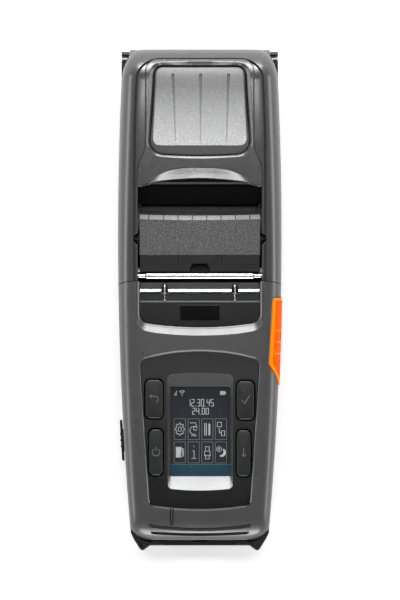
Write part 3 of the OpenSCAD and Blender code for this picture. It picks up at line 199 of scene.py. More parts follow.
M = {
    "case": material("case_grain", (0.045, 0.045, 0.0454), 0.3, 0.18, specular=0.9),
    "front_case": material("front_case_grain", (0.062, 0.062, 0.0625), 0.3, 0.2, specular=0.9),
    "lid_case": material("lid_case_grain", (0.055, 0.055, 0.0555), 0.25, 0.14, specular=0.95),
    "cover": material("cover_grain", (0.062, 0.062, 0.0625), 0.27, 0.2, specular=0.95),
    "dark_panel": material("dark_panel_satin", (0.009, 0.009, 0.0092), 0.33, 0.12),
    # Painted sheen: the panel's colour lightens towards its rear.
    "panel": material("panel_satin_painted_sheen", (0.0065, 0.0065, 0.0067), 0.33, 0.16,
                      painted_light_along_y=(-96, -34, (0.026, 0.026, 0.0265), 1)),
    # Painted sheen: a lighter grey for the well's sides and the faces beside the keys.
    "side_sheen": material("well_side_painted_sheen", (0.075, 0.075, 0.0755), 0.28, 0.1),
    # Painted highlight: light grey for the bevel at the front of the screen well.
    "lip_highlight": material("well_lip_painted_highlight", (0.46, 0.46, 0.465), 0.3, 0.2),
    "battery": material("battery_grain", (0.032, 0.032, 0.0325), 0.36, 0.2),
    "pin": material("ground_pin", (0.9, 0.9, 0.89), 0.45, 0.1, 1, streak=(1, 60, 60)),
    "black_plastic": material("black_satin", (0.004, 0.004, 0.0042), 0.4, 0.15, specular=0.28),
    # Painted highlight: a lighter grey for the strip along the trim's edge.
    "trim_highlight": material("trim_line_painted_highlight", (0.11, 0.11, 0.11), 0.45, 0.1),
    "badge": material("badge_gloss", (0.004, 0.004, 0.004), 0.16, rough_var=0.03, blotch=0.02),
    "key": material("key_grain", (0.014, 0.014, 0.0145), 0.4, 0.3),
    "key_icon": material("key_icon_ink", (0.13, 0.13, 0.135), 0.5, 0.1),
    "orange": material("orange_satin", (1, 0.125, 0), 0.5, 0.15, wear=0.2, specular=0.06,
                       tint=(1, 0.4, 0.02)),
    # Painted highlight: a lighter orange for the button's rim and ribs.
    "orange_rim_painted_highlight": material("orange_rim_painted_highlight", (1, 0.26, 0.004), 0.4, 0.15, wear=0.4, specular=0.3,
                           tint=(1, 0.5, 0.05)),
    "peeler": material("peeler_spark", (0.008, 0.008, 0.0082), 0.33, 1, grain_scale=2350,
                       fleck=0.2, specular=0.9),
    # Painted highlight: light grey for the peeler cover's rear bevel.
    "peeler_edge_highlight": material("peeler_edge_painted_highlight", (0.4, 0.4, 0.405), 0.4, 0.6, grain_scale=2200,
                            fleck=0.3),
    "window": material("window_frost", (0.56, 0.56, 0.565), 0.42, 1, grain_scale=2200,
                       fleck=0.42, painted_light_along_y=(72, 104, (0.1, 0.1, 0.102), 0.78)),
    "window_rim": material("window_rim_smooth", (0.1, 0.1, 0.102), 0.32, 0.1),
    # Real seal rubber for the window gasket, and painted shade deep in the tear bar's slots.
    "seal": material("seal_rubber_and_slot_shade", (0.003, 0.003, 0.003), 0.6, 0.1, specular=0.3),
    "rubber": material("bumper_rubber", (0.008, 0.008, 0.008), 0.6, 0.35, specular=0.3),
    "chrome": material("polished_steel", (0.64, 0.64, 0.65), 0.17, 0.05, 1, rough_var=0.04,
                       streak=(1, 60, 60)),
    "steel": material("zinc_steel", (0.6, 0.6, 0.61), 0.3, 0.1, 1, rough_var=0.08),
    "tin": material("tin_plate", (0.5, 0.5, 0.51), 0.36, 0.1, 1),
    "alloy": material("extruded_alloy", (0.6, 0.61, 0.63), 0.38, 0.15, 1),
    "ceramic": material("head_ceramic", (0.65, 0.62, 0.55), 0.25, 0.05),
    "natural_plastic": material("acetal", (0.72, 0.69, 0.6), 0.4, 0.1),
    "brass": material("contact_brass", (0.6, 0.45, 0.2), 0.28, 0.08, 1),
    "bronze": material("sintered_bronze", (0.5, 0.38, 0.22), 0.5, 0.6, 1),
    "cable": material("flat_cable", (0.66, 0.67, 0.68), 0.45, 0.1),
    "board": material("solder_resist", (0.02, 0.11, 0.055), 0.34, 0.2),
    "display": material("display_glass", (0.034, 0.038, 0.045), 0.16, rough_var=0.03),
    "ui_white": material("ui_white", (0.56, 0.57, 0.58), 0.3),
    "ui_grey": material("ui_grey", (0.2, 0.21, 0.22), 0.3),
    "ui_bar": material("ui_bar", (0.028, 0.072, 0.11), 0.25),
    "ui_line": material("ui_line", (0.06, 0.2, 0.24), 0.25),
}


# --- mesh tools
def edit(me, change, *values):
    """Changes the mesh through bmesh."""
    bm = bmesh.new()
    bm.from_mesh(me)
    change(bm, *values)
    bm.to_mesh(me)
    bm.free()


def face_out(bm):
    bmesh.ops.recalc_face_normals(bm, faces=bm.faces)


def merge_close(bm):
    bmesh.ops.remove_doubles(bm, verts=bm.verts, dist=MERGE)
    bmesh.ops.dissolve_degenerate(bm, edges=bm.edges, dist=MERGE)


def smooth(bm, limit):
    """Smooth faces, with sharp edges where they meet at more than the limit."""
    for f in bm.faces:
        f.smooth = True
    for e in bm.edges:
        e.smooth = len(e.link_faces) == 2 and e.calc_face_angle(0) < limit


def solid(name, verts, faces):
    me = bpy.data.meshes.new(name)
    me.from_pydata([(x * MM, y * MM, z * MM) for x, y, z in verts], [], faces)
    edit(me, face_out)
    return add(name, me)


def loft(name, rings, closed=False):
    """Skin through rings of equal length, capped at both ends, or joined end to start when closed."""
    n = len(rings[0])
    verts = [p for r in rings for p in r]
    count = len(rings)
    faces = []
    for k in range(count if closed else count - 1):
        a, b = k * n, (k + 1) % count * n
        faces += [(a + i, a + (i + 1) % n, b + (i + 1) % n, b + i) for i in range(n)]
    if not closed:
        faces += [tuple(range(n)), tuple(range((count - 1) * n, count * n))]
    return solid(name, verts, faces)


def flat(points, z):
    return [(x, y, z) for x, y in points]


def prism(points, low, high, axis="z", name="cut"):
    """Outline drawn straight along an axis. Points are (x, y) for z and (y, z) for x."""
    place = {"z": lambda a, b, c: (a, b, c), "x": lambda a, b, c: (c, a, b)}[axis]
    return loft(name, [[place(a, b, c) for a, b in points] for c in (low, high)])


def rect(x0, y0, x1, y1, r=0, seg=6):
    return rounded([(x0, y0, r), (x1, y0, r), (x1, y1, r), (x0, y1, r)], seg)


def box(low, high, name="cut"):
    return prism(rect(*low[:2], *high[:2]), low[2], high[2], name=name)


def circle(r, n=48, cx=0, cy=0):
    return [(cx + r * math.cos(2 * math.pi * i / n), cy + r * math.sin(2 * math.pi * i / n)) for i in range(n)]


def bake_modifiers(ob):
    graph = bpy.context.evaluated_depsgraph_get()
    me = bpy.data.meshes.new_from_object(ob.evaluated_get(graph))
    ob.modifiers.clear()
    ob.data = me


def cut(ob, tool, how="DIFFERENCE"):
    mod = ob.modifiers.new("cut", "BOOLEAN")
    mod.operation = how
    mod.object = tool
    mod.solver = "MANIFOLD"
    bake_modifiers(ob)
    bpy.data.objects.remove(tool)


def finish(ob, mat, body, replaces=(), bevel=0, soft=38):
    """Rounds the sharp edges, sets the finish, and says which body the piece rides on."""
    edit(ob.data, merge_close)
    if bevel:
        mod = ob.modifiers.new("edges", "BEVEL")
        mod.width = bevel * MM
        mod.segments = 2
        mod.limit_method = "ANGLE"
        mod.angle_limit = BEVEL_FROM
        mod.use_clamp_overlap = True
        mod.miter_outer = "MITER_ARC"
        bake_modifiers(ob)
    edit(ob.data, smooth, math.radians(soft))
    weight = ob.modifiers.new("weights", "WEIGHTED_NORMAL")
    weight.keep_sharp = True
    ob.data.materials.clear()
    ob.data.materials.append(M[mat])
    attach(ob, body)
    if replaces:
        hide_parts(*replaces)


def paint(ob, mat, test):
    """Second finish on the faces that pass the test, which gets their centre in mm and their normal."""
    ob.data.materials.append(M[mat])
    for f in ob.data.polygons:
        if test(*(c / MM for c in f.center), f.normal):
            f.material_index = len(ob.data.materials) - 1


def move(ob, matrix):
    ob.data.transform(matrix)
    return ob


# --- the body's form
REAR_Y, FRONT_Y, TOP_Y0 = 122.5, -120.2, -117.3
JOINT_H, FLOOR_Z, WALL = 27, 1, 2.2
LID_Y, LID_GAP_Y = 9.1, 9.45
DECK_Z, SLOPE = 54, 0.07874
TILT = math.atan(SLOPE)
CREST_Y, CREST_Z = 100, 62
WIDEST_Y, HALF_WIDTH, TAPER = 30.5, 40, 6.75
TOP_POWER, BASE_POWER = 6.5, 8
REAR_RUN, FRONT_RUN = 16, 15
MOUTH_HALF = 30.3
FAR = 200
# Axes of turned pieces as (y, z)
HINGE, PEELER_PIVOT, PLATEN_AXIS = (118.2, 24), (29.8, 47.2), (14, 39.5)
PEEL_AXIS, BAR_AXIS = (11.7, 49.405), (44.6, 50.4)
PIN_BORE = 1.62
EAR_IN, EAR_OUT, BARREL_HALF = 34.6, 38.3, 34.4
FOOT_X, FOOT_YS = 25, (-94.2, 96.5)


def deck_z(y):
    return DECK_Z + SLOPE * (y - LID_Y)


def top_z(y):
    """Height of the top along the middle: the deck's slope, then a smooth rise to the crest."""
    if y < LID_Y:
        return deck_z(y)
    run = CREST_Y - LID_Y
    t = min(1, (y - LID_Y) / run)
    return ((2 * t ** 3 - 3 * t ** 2 + 1) * DECK_Z + (t ** 3 - 2 * t ** 2 + t) * SLOPE * run
            + (3 * t ** 2 - 2 * t ** 3) * CREST_Z)


def half_w(y):
    return HALF_WIDTH - TAPER * ((y - WIDEST_Y) / (FRONT_Y - WIDEST_Y)) ** 2


def share(s, length):
    """Quarter-round rise from 0 to 1 over the length."""
    return 1 if s >= length else math.sqrt(max(0, 1 - (1 - s / length) ** 2))


def section(y, d, y0, y1):
    """Half width, top and bottom of the body at y, drawn in by d and rounded towards its ends y0 and y1."""
    rear, front = y1 - y, y - y0
    w = half_w(y) - d - 9 * (1 - share(rear, 16)) - 8 * (1 - share(front, 8))
    top = top_z(y) - d - 24 * (1 - share(rear, 15)) - 8 * (1 - share(front, 15))
    bottom = FLOOR_Z + d + 5 * (1 - share(min(rear, front), 6))
    return w, top, bottom


def ring(y, d, y0, y1):
    """Outline of the body at y: two superellipses that meet at the joint's height."""
    w, top, bottom = section(y, d, y0, y1)
    upper, lower = 36, 20
    pts = []
    for turns, count, end, power in ((range(-upper, upper + 1), upper, top, TOP_POWER),
                                     (range(lower - 1, -lower, -1), lower, bottom, BASE_POWER)):
        for i in turns:
            a = math.pi / 2 * abs(i) / count
            pts.append((math.copysign(w * math.sin(a) ** (2 / power), i), y,
                        JOINT_H + (end - JOINT_H) * max(0, math.cos(a)) ** (2 / power)))
    return pts


def form(d=0, y0=FRONT_Y, name="form"):
    """The body drawn in by d, with its rings closer together at the rounded ends."""
    a0, a1 = y0 + d, REAR_Y - d
    ends, step = 24, 3.5
    quarter = [1 - math.cos(math.pi / 2 * i / ends) for i in range(ends + 1)]
    ys = [a0 + FRONT_RUN * c for c in quarter]
    span = a1 - REAR_RUN - a0 - FRONT_RUN
    mids = int(span / step)
    ys += [a0 + FRONT_RUN + span * i / mids for i in range(1, mids)]
    ys += [a1 - REAR_RUN * c for c in quarter[::-1]]
    return loft(name, [ring(y, d, a0, a1) for y in ys])


def skin_z(x, y, y0=-1e4):
    """Height of the top of the form at x and y. The front shell's own front end y0 adds its nose curve."""
    w, top, _ = section(y, 0, y0, REAR_Y)
    return JOINT_H + (top - JOINT_H) * (1 - min(1, abs(x) / w) ** TOP_POWER) ** (1 / TOP_POWER)


def on_deck(ob, y):
    """Piece drawn flat at the origin, set on the sloping deck at y."""
    return move(ob, Matrix.Translation((0, y * MM, deck_z(y) * MM)) @ Matrix.Rotation(TILT, 4, "X"))


FLAP_Y = -68.7
FLAP_FRAME = (Matrix.Translation((-half_w(FLAP_Y) * MM, FLAP_Y * MM, 0))
              @ Matrix.Rotation(math.radians(3.4), 4, "Z"))


def rounded(corners, seg=6):
    """Polygon with each corner (x, y, r) rounded."""
    out = []
    n = len(corners)
    for i, (x, y, r) in enumerate(corners):
        if r <= 0:
            out.append((x, y))
            continue
        p = Vector((x, y))
        a = (Vector(corners[i - 1][:2]) - p).normalized()
        b = (Vector(corners[(i + 1) % n][:2]) - p).normalized()
        half = a.angle(b) / 2
        reach = r / math.tan(half)
        c = p + (a + b).normalized() * (r / math.sin(half))
        s, e = p + a * reach - c, p + b * reach - c
        turn = s.angle_signed(e)
        for k in range(seg + 1):
            v = s.copy()
            v.rotate(Matrix.Rotation(-turn * k / seg, 2))
            out.append((c.x + v.x, c.y + v.y))
    return out


def grown(points, d):
    """Outline moved outward by d along its corner normals. Points run counter-clockwise."""
    n = len(points)
    out = []
    for i in range(n):
        p, a, b = (Vector(points[j]) for j in (i, i - 1, (i + 1) % n))
        u, v = (p - a), (b - p)
        if u.length < 1e-6 or v.length < 1e-6:
            u = v = (b - a)
        u.normalize()
        v.normalize()
        nu, nv = Vector((u.y, -u.x)), Vector((v.y, -v.x))
        m = nu + nv
        m = m / max(0.35, m.length_squared) * 2
        out.append((p.x + m.x * d, p.y + m.y * d))
    return out


def counter(points):
    area = sum(points[i - 1][0] * points[i][1] - points[i][0] * points[i - 1][1] for i in range(len(points)))
    return points if area > 0 else points[::-1]


def mirrored(right):
    """Closed outline from its right side."""
    return counter(right + [(-x, y) for x, y in right[::-1]])


def between(a, b, t):
    return a[0] + (b[0] - a[0]) * t, a[1] + (b[1] - a[1]) * t


def split(points, parts, chosen):
    """Closed outline whose edges are cut into parts where their ends are chosen."""
    out = []
    for a, b in zip(points, points[1:] + points[:1]):
        n = parts if chosen(a, b) else 1
        out += [between(a, b, k / n) for k in range(n)]
    return out


def tablet(name, points, low, high, edge=0.3, foot=0, steps=3, dome=0):
    """Plate with a rounded upper edge, and an optional rounded lower edge and domed top."""
    points = counter(points)
    turns = [math.pi / 2 * k / steps for k in range(steps + 1)]
    rings = [flat(points, low)]
    if foot:
        rings = [flat(grown(points, -foot * (1 - math.sin(a))), low + foot * (1 - math.cos(a))) for a in turns]
    rings += [flat(grown(points, -edge * (1 - math.cos(a))), high - edge * (1 - math.sin(a))) for a in turns]
    if dome:
        last = rings[-1]
        cx, cy = (sum(p[j] for p in last) / len(last) for j in (0, 1))
        for t in (k / 5.4 for k in range(1, 6)):
            rise = dome * (1 - (1 - t) ** 2)
            rings.append([(*between(at, (cx, cy), t), high + rise) for at in last])
    return loft(name, rings)


def lathe_x(name, profile, y, z, n=48):
    """Turned piece along X from (x, radius) pairs."""
    return loft(name, [[(x, b, c) for b, c in circle(r, n, y, z)] for x, r in profile])


def turned(x0, x1, r, edge=0.3):
    """Profile of a rod with rounded ends."""
    turns = [math.pi / 2 * k / 4 for k in range(4, -1, -1)]
    left = [(x0 + edge * (1 - math.sin(a)), r - edge * (1 - math.cos(a))) for a in turns]
    right = [(x0 + x1 - x, q) for x, q in left[::-1]]
    return left + right


def joined(name, obs):
    """One object from several."""
    bm = bmesh.new()
    for ob in obs:
        bm.from_mesh(ob.data)
        bpy.data.objects.remove(ob)
    me = bpy.data.meshes.new(name)
    bm.to_mesh(me)
    bm.free()
    return add(name, me)


# --- outlines
COVER_FRONT, COVER_REAR = 55.45, 117.5


def cover_outline(grow=0):
    """Cover of the lid: as wide as the mouth at its front, waisted behind it, with round rear corners."""
    waist, start, run, corner = 26.4, 62.45, 14, 6
    right = [(MOUTH_HALF, COVER_FRONT), (MOUTH_HALF, start)]
    for i in range(1, 13):
        t = (1 - math.cos(math.pi * i / 12)) / 2
        right.append((MOUTH_HALF + (waist - MOUTH_HALF) * t, start + run * i / 12))
    right += [(waist - corner * (1 - math.cos(a)), COVER_REAR - corner * (1 - math.sin(a)))
              for a in (math.radians(9 * i) for i in range(11))]
    return grown(mirrored(right), grow) if grow else mirrored(right)


def opening_outline(grow=0):
    """Opening of the cover round the window, with a bowed front edge."""
    half, front = 24.6, 71.5
    pts = rounded([(-half, front, 6), (half, front, 6), (22.7, 114.4, 5), (-22.7, 114.4, 5)], 8)
    pts = split(pts, 16, lambda a, b: b[0] - a[0] > 10 and max(a[1], b[1]) < front + 0.01)
    bowed = [(x, y - (1.1 * (1 - (x / half) ** 2) if y < 78 else 0)) for x, y in pts]
    return grown(counter(bowed), grow)


def window_outline():
    return counter(rounded([(-23.1, 75.2, 3.2), (23.1, 75.2, 3.2), (21.1, 113, 3.6), (-21.1, 113, 3.6)], 8))


def rail_outline(grow=0):
    """Line of the long bead on the lid's rails, 6 mm inside the silhouette."""
    right = [(32.4, -5), (32.4, 60), (32.2, 85), (31.5, 103)]
    right += [(31.3 - 12 * (1 - math.cos(math.radians(a))), 107.5 + 10.5 * math.sin(math.radians(a)))
              for a in range(0, 91, 9)]
    return grown(mirrored(right), grow)


# --- lower case
def lower_case():
    ob = form(name="lower_case")
    cut(ob, form(WALL))
    cut(ob, box((-FAR, -FAR, JOINT_H), (FAR, FAR, FAR)))
    for side in (-1, 1):
        ear = rounded([(106.1, 7, 2), (118.5, 7, 2), (121.5, 11, 2), (121.5, 27.4, 2), (106.1, 27.4, 2)])
        cut(ob, prism(ear, *sorted((side * EAR_IN, side * EAR_OUT)), "x"), "UNION")
        root = rounded([(108, 7, 2), (118.5, 7, 2), (121.4, 11, 2), (121.4, 19, 0.5), (108, 19, 0.5)])
        cut(ob, prism(root, *sorted((side * 32, side * 35)), "x"), "UNION")
    cut(ob, box((-EAR_IN, 113.6, 19.4), (EAR_IN, 130, 40)))
    cut(ob, prism(circle(PIN_BORE, 32, *HINGE), -60, 60, "x"))
    cut(ob, box((-60, 116.6, 24), (60, 119.8, 40)))
    cut(ob, box((-17.95, -125, 6.65), (17.95, -116.2, 40)))
    screws = ((30.6, -47.5), (27, -110.4))
    clip = (15, 48)
    for side in (-1, 1):
        for (x, y), top in (*((at, JOINT_H) for at in screws), (clip, 8.2)):
            boss = prism(circle(3.2, 40, side * x, y), 2, top)
            cut(boss, form(0.4), "INTERSECT")
            cut(ob, boss, "UNION")
    for side in (-1, 1):
        for y in FOOT_YS:
            cut(ob, prism(circle(7.1, 48, side * FOOT_X, y), -1, 2))
        for x, y in screws:
            cut(ob, prism(circle(2.8, 32, side * x, y), -1, 4.6))
        cut(ob, prism(circle(1.25, 24, side * clip[0], clip[1]), -1, 7))
    cut(ob, move(box((-2, -6.5, 12), (4.2, 6.5, 21)), FLAP_FRAME))
    finish(ob, "case", "case", ["base_housing"], bevel=0.45)
    # Painted shade: the hinge ears, under the lid, are near-black.
    paint(ob, "black_plastic", lambda x, y, z, n: abs(x) > 31.9 and y > 105.5)


# --- front shell
TRIM_Y, TRIM_LEN, TRIM_HALF, TRIM_DEPTH, TRIM_CORNER, TRIM_LEAN = -1.5, 12, 29.4, 3.5, 5, math.radians(8)


def trim_outline(grow=0):
    """Trim pocket seen square to the deck: open at the rear, bowed at the front, with round corners."""
    x1 = TRIM_HALF - TRIM_CORNER * (1 - math.sin(TRIM_LEAN))
    bow = x1 * math.tan(TRIM_LEAN) / 2
    reach, q = 30, TRIM_CORNER + grow
    side = []
    for i in range(25):
        t = min(1, i / 12)
        front_lean = math.atan(t * math.tan(TRIM_LEAN))
        lean = front_lean + (math.pi / 2 - TRIM_LEAN) * max(0, i / 12 - 1)
        side.append((t * x1 + q * math.sin(lean) - TRIM_CORNER * math.sin(front_lean),
                     -TRIM_LEN + bow * t * t - q * math.cos(lean) + TRIM_CORNER * math.cos(front_lean)))
    return [(-x, y) for x, y in side[:0:-1]] + side + [(TRIM_HALF + grow, reach), (-TRIM_HALF - grow, reach)]


def pocket_outline(grow):
    """Trim outline whose bevel is narrower at the sides than at the front."""
    reach = TRIM_HALF + min(grow, 1) + 0.3 * max(0, grow - 1)
    return [(max(-reach, min(reach, x)), y) for x, y in trim_outline(grow)]


PANEL_Y, PANEL_L, PANEL_W, PANEL_FRONT_W, PANEL_ARCH = -29.3, 73, 58.4, 49.6, 4.2


def panel_outline(grow=0):
    """Control panel seen square to the deck: arched at the rear, narrower and bowed at the front."""
    n, corner = 14, 4
    rear = [(u * (PANEL_W / 2 - corner), PANEL_ARCH * (1 - (u * (1 - 2 * corner / PANEL_W)) ** 2))
            for u in (2 * i / n - 1 for i in range(n + 1))]
    front = [(u * (PANEL_FRONT_W / 2 - corner), -PANEL_L + 1.5 * u ** 2)
             for u in (1 - 2 * i / n for i in range(n + 1))]
    right = arc_between(rear[-1], (PANEL_W / 2, 0.4 - corner), (PANEL_W / 2, 0.6))
    x, y = PANEL_FRONT_W / 2, -PANEL_L + 1.5
    right += arc_between((x, y + corner), front[0], (x, y))
    left = [(-x, y) for x, y in right[::-1]]
    return grown(counter(rear + right + front + left), grow)


def arc_between(a, b, corner):
    """Quadratic curve from a to b that bends towards corner, without its first point."""
    return [tuple((1 - t) ** 2 * a[j] + 2 * t * (1 - t) * corner[j] + t * t * b[j] for j in (0, 1))
            for t in (k / 6 for k in range(1, 7))]


def button_outline(grow=0):
    corners = ((-8, 1.2), (8, 1.2), (8, -41.6), (1, -41.6), (-8, -31.6))
    return grown(counter(rounded([(x, y, 1.8) for x, y in corners])), grow)


BUTTON_FRAME = Matrix.Translation((36.2 * MM, 0, 40.2 * MM)) @ Matrix.Rotation(math.radians(45), 4, "Y")


def seam_side(gap, reach):
    """Region on one side of the parting between lid and front shell, which bows forward at both sides."""
    line = [(x, LID_Y + gap - 1.7 * max(0, (abs(x) - 32.5) / 7.5) ** 2)
            for x in (-44 + 2.2 * i for i in range(41))]
    return [(-FAR, line[0][1])] + line + [(FAR, line[-1][1]), (FAR, reach), (-FAR, reach)]


def front_shell():
    ob = form(0, TOP_Y0, "front_shell")
    cut(ob, form(WALL, TOP_Y0))
    pad = on_deck(loft("floor_pad", [flat(trim_outline(4), z) for z in (-8, -2)]), TRIM_Y)
    cut(pad, form(0.4, TOP_Y0), "INTERSECT")
    cut(ob, pad, "UNION")
    cut(ob, box((-FAR, -FAR, -50), (FAR, FAR, JOINT_H)))
    cut(ob, prism(seam_side(0, FAR), -50, FAR))
    cut(ob, on_deck(prism(panel_outline(), -20, 20), PANEL_Y))
    lip = [flat(panel_outline(g), z) for g, z in ((0, -0.85), (0.95, 0), (1.35, 0.2), (3, 1.2))]
    cut(ob, on_deck(loft("cut", lip), PANEL_Y))
    pocket = ((0, -20), (0, -TRIM_DEPTH), (0.25, -3.1), (0.9, -2.75), (1.2, -2.45), (3.8, -0.08),
              (4.2, 0.12), (6, 1))
    cut(ob, on_deck(loft("cut", [flat(pocket_outline(g), z) for g, z in pocket]), TRIM_Y))
    cut(ob, move(prism(button_outline(0.45), -20, 20), BUTTON_FRAME))
    cut(ob, box((-4, -122, 26), (4, -113, 32.5)))
    nose_lines(ob)
    finish(ob, "front_case", "case", ["front_housing"], bevel=0.35)
    # Painted shade: faces sunk below the nose's skin, in its grooves and loop, are near-black.
    paint(ob, "black_plastic", lambda x, y, z, n:
          y < -98 and abs(x) < 25.4 and n.z > 0 and 30 < z < skin_z(x, y, TOP_Y0) - 0.28)


def nose_lines(ob):
    """Two bowed steps across the nose, and the narrow loop pressed in above them."""
    for half, y_mid, y_end, run in ((25, -111.6, -109.6, 1.3), (24, -114.2, -113.3, 1.1)):
        rows = []
        for i in range(49):
            u = i / 24 - 1
            x, y = u * half, y_mid + (y_end - y_mid) * u * u
            z, z_front = skin_z(x, y, TOP_Y0), skin_z(x, y - run, TOP_Y0)
            deep = 0.9 * min(1, (1 - abs(u)) * 12 + 0.15)
            rows.append([(x, y + 0.3, z - deep), (x, y - 0.3, z - deep), (x, y - run, z_front - 0.02),
                         (x, y - run, z + 12), (x, y + 0.3, z + 12)])
        cut(ob, loft("cut", rows))
    loop = [(-14.55, -99.2), (-12.85, -99.2), (-12.85, -109.2), (-13.7, -110.4), (-14.55, -109.2)]
    island = [(-14.05, -90), (-13.35, -90), (-13.35, -108.9), (-13.7, -109.4), (-14.05, -108.9)]
    tool = prism(counter(loop), 20, 60)
    cut(tool, form(0.7, TOP_Y0))
    cut(tool, prism(counter(island), 10, 70))
    cut(ob, tool)


# --- lid
def lid_shell():
    ob = form(name="lid_shell")
    cut(ob, form(3.85))
    cut(ob, box((-FAR, -FAR, -50), (FAR, FAR, JOINT_H + 0.35)))
    cut(ob, prism(seam_side(0.35, -FAR), -50, FAR))
    for side in (-1, 1):
        web = box((side * 31.05 - 0.75, LID_GAP_Y, 30), (side * 31.05 + 0.75, 62.4, 75))
        cut(web, form(1), "INTERSECT")
        cut(ob, web, "UNION")
    cut(ob, box((-MOUTH_HALF, 0, -50), (MOUTH_HALF, COVER_FRONT + 1, FAR)))
    inner = prism(rail_outline(), 20, 90)
    cut(inner, form(0.4))
    cut(ob, inner)
    groove = prism(rail_outline(), 30, 90)
    cut(groove, prism(rail_outline(-1.1), 20, 95))
    cut(groove, form(1))
    cut(ob, groove)
    opening = prism(cover_outline(0.25), 30, 90)
    cut(opening, form(2.3))
    cut(ob, opening)
    cut(ob, prism(cover_outline(-2), 20, 90))
    for side in (-1, 1):
        cut(ob, box((side * 44.4 - 10, 105, 20), (side * 44.4 + 10, 124.5, 28.4)))
        cut(ob, prism(circle(2.6, 32, side * 29.9, 29.8), 46, 80))
    cut(ob, lathe_x("barrel", turned(-BARREL_HALF, BARREL_HALF, 4.25, 0.5), *HINGE), "UNION")
    cut(ob, box((-BARREL_HALF, *HINGE), (BARREL_HALF, 121.85, 29)), "UNION")
    for r, axis in ((4, PLATEN_AXIS), (1.04, PEEL_AXIS), (2.54, PEELER_PIVOT), (1.27, BAR_AXIS)):
        cut(ob, prism(circle(r, 32, *axis), -33, 33, "x"))
    cut(ob, prism(circle(5.9, 32, *PLATEN_AXIS), -36.4, -31.81, "x"))
    cut(ob, prism(circle(PIN_BORE, 32, *HINGE), -60, 60, "x"))
    finish(ob, "lid_case", "lid", ["lid_frame"], bevel=0.3)


def ray_points(outline, angles, centre):
    """Where rays from the centre leave an outline."""
    line = [Vector(at) - centre for at in outline]
    out = []
    for d in (Vector((math.cos(a), math.sin(a))) for a in angles):
        reach = 0
        for i, q in enumerate(line):
            p = line[i - 1]
            e = q - p
            det = e.x * d.y - e.y * d.x
            if abs(det) > 1e-12 and -1e-9 <= (d.x * p.y - d.y * p.x) / det <= 1 + 1e-9:
                reach = max(reach, (p.y * e.x - p.x * e.y) / det)
        out.append((centre.x + d.x * reach, centre.y + d.y * reach))
    return out


def scoop_share(x, power=2):
    """1 in the middle of the finger scoop, falling to 0 at its ends."""
    half = 28
    return max(0, 1 - (abs(x) / half) ** power)


def inset(p, q, d):
    """Each point of p moved towards its partner in q. The distance d is one number or a list."""
    out = []
    for i, (a, b) in enumerate(zip(p, q)):
        v = Vector(b) - Vector(a)
        out.append(tuple(Vector(a) + v * min(1, (d[i] if isinstance(d, list) else d) / max(v.length, 1e-6))))
    return out


def blend(p, q, t):
    return [between(a, b, t) for a, b in zip(p, q)]


def lid_cover():
    """Cover with its bevelled window opening and the crescent-shaped finger lip, as one ringed shell."""
    centre = Vector((0, 91))

    def front(y):
        return abs(y - COVER_FRONT) < 0.01

    dense = split(cover_outline(), 60, lambda a, b: front(a[1]) and front(b[1]))
    low = [(x, y - 0.2 + 4 * scoop_share(x)) if front(y) else (x, y) for x, y in dense]
    high = [(x, y + 0.1 + 8.6 * scoop_share(x, 3)) if front(y) else (x, y) for x, y in dense]
    angles = sorted({round(math.atan2(y - centre.y, x - centre.x), 6) for x, y in low}
                    | {math.radians(a) for a in range(-180, 180, 3)})
    angles = [a for i, a in enumerate(angles) if i == 0 or a - angles[i - 1] > 0.004]
    low, high, opening = (ray_points(line, angles, centre) for line in (low, high, opening_outline()))
    crescent_share = [min(1, (Vector(h) - Vector(a)).length / 4.6) for a, h in zip(low, high)]
    bevel = [1.75 if y > 76 else 1.35 + 0.4 * max(0, min(1, (y - 72) / 4)) for x, y in opening]
    slope = [w - 0.18 for w in bevel]

    def lift(points, depth, fall=0, shares=crescent_share):
        """Points on the skin, lowered by depth and by their share of the fall."""
        return [(x, y, skin_z(x, y) - (depth + fall * shares[i])) for i, (x, y) in enumerate(points)]

    inner, outer = inset(high, opening, 0.45), inset(opening, high, [w + 0.25 for w in bevel])
    rings = [
        lift(low, 2.1, 3.2), lift(low, 0.32, 3), lift(inset(low, high, 0.15), 0.30, 2.75),
        lift(blend(low, high, 0.35), 0.28, 1.75), lift(blend(low, high, 0.7), 0.26, 0.75),
        lift(high, 0.25, -0.05), lift(inset(high, opening, 0.12), 0.08), lift(inner, 0),
        *(lift(blend(inner, outer, t), 0) for t in (0.12, 0.25, 0.4, 0.55, 0.7, 0.85)),
        lift(outer, 0), lift(inset(opening, high, bevel), 0.12),
        lift(inset(opening, high, 0.18), 0.12, 0.84, slope), lift(opening, 0.32, 0.84, slope),
        lift(opening, 2.4),
    ]
    finish(loft("lid_cover_shell", rings, closed=True), "cover", "lid", ["lid_cover"], soft=26)


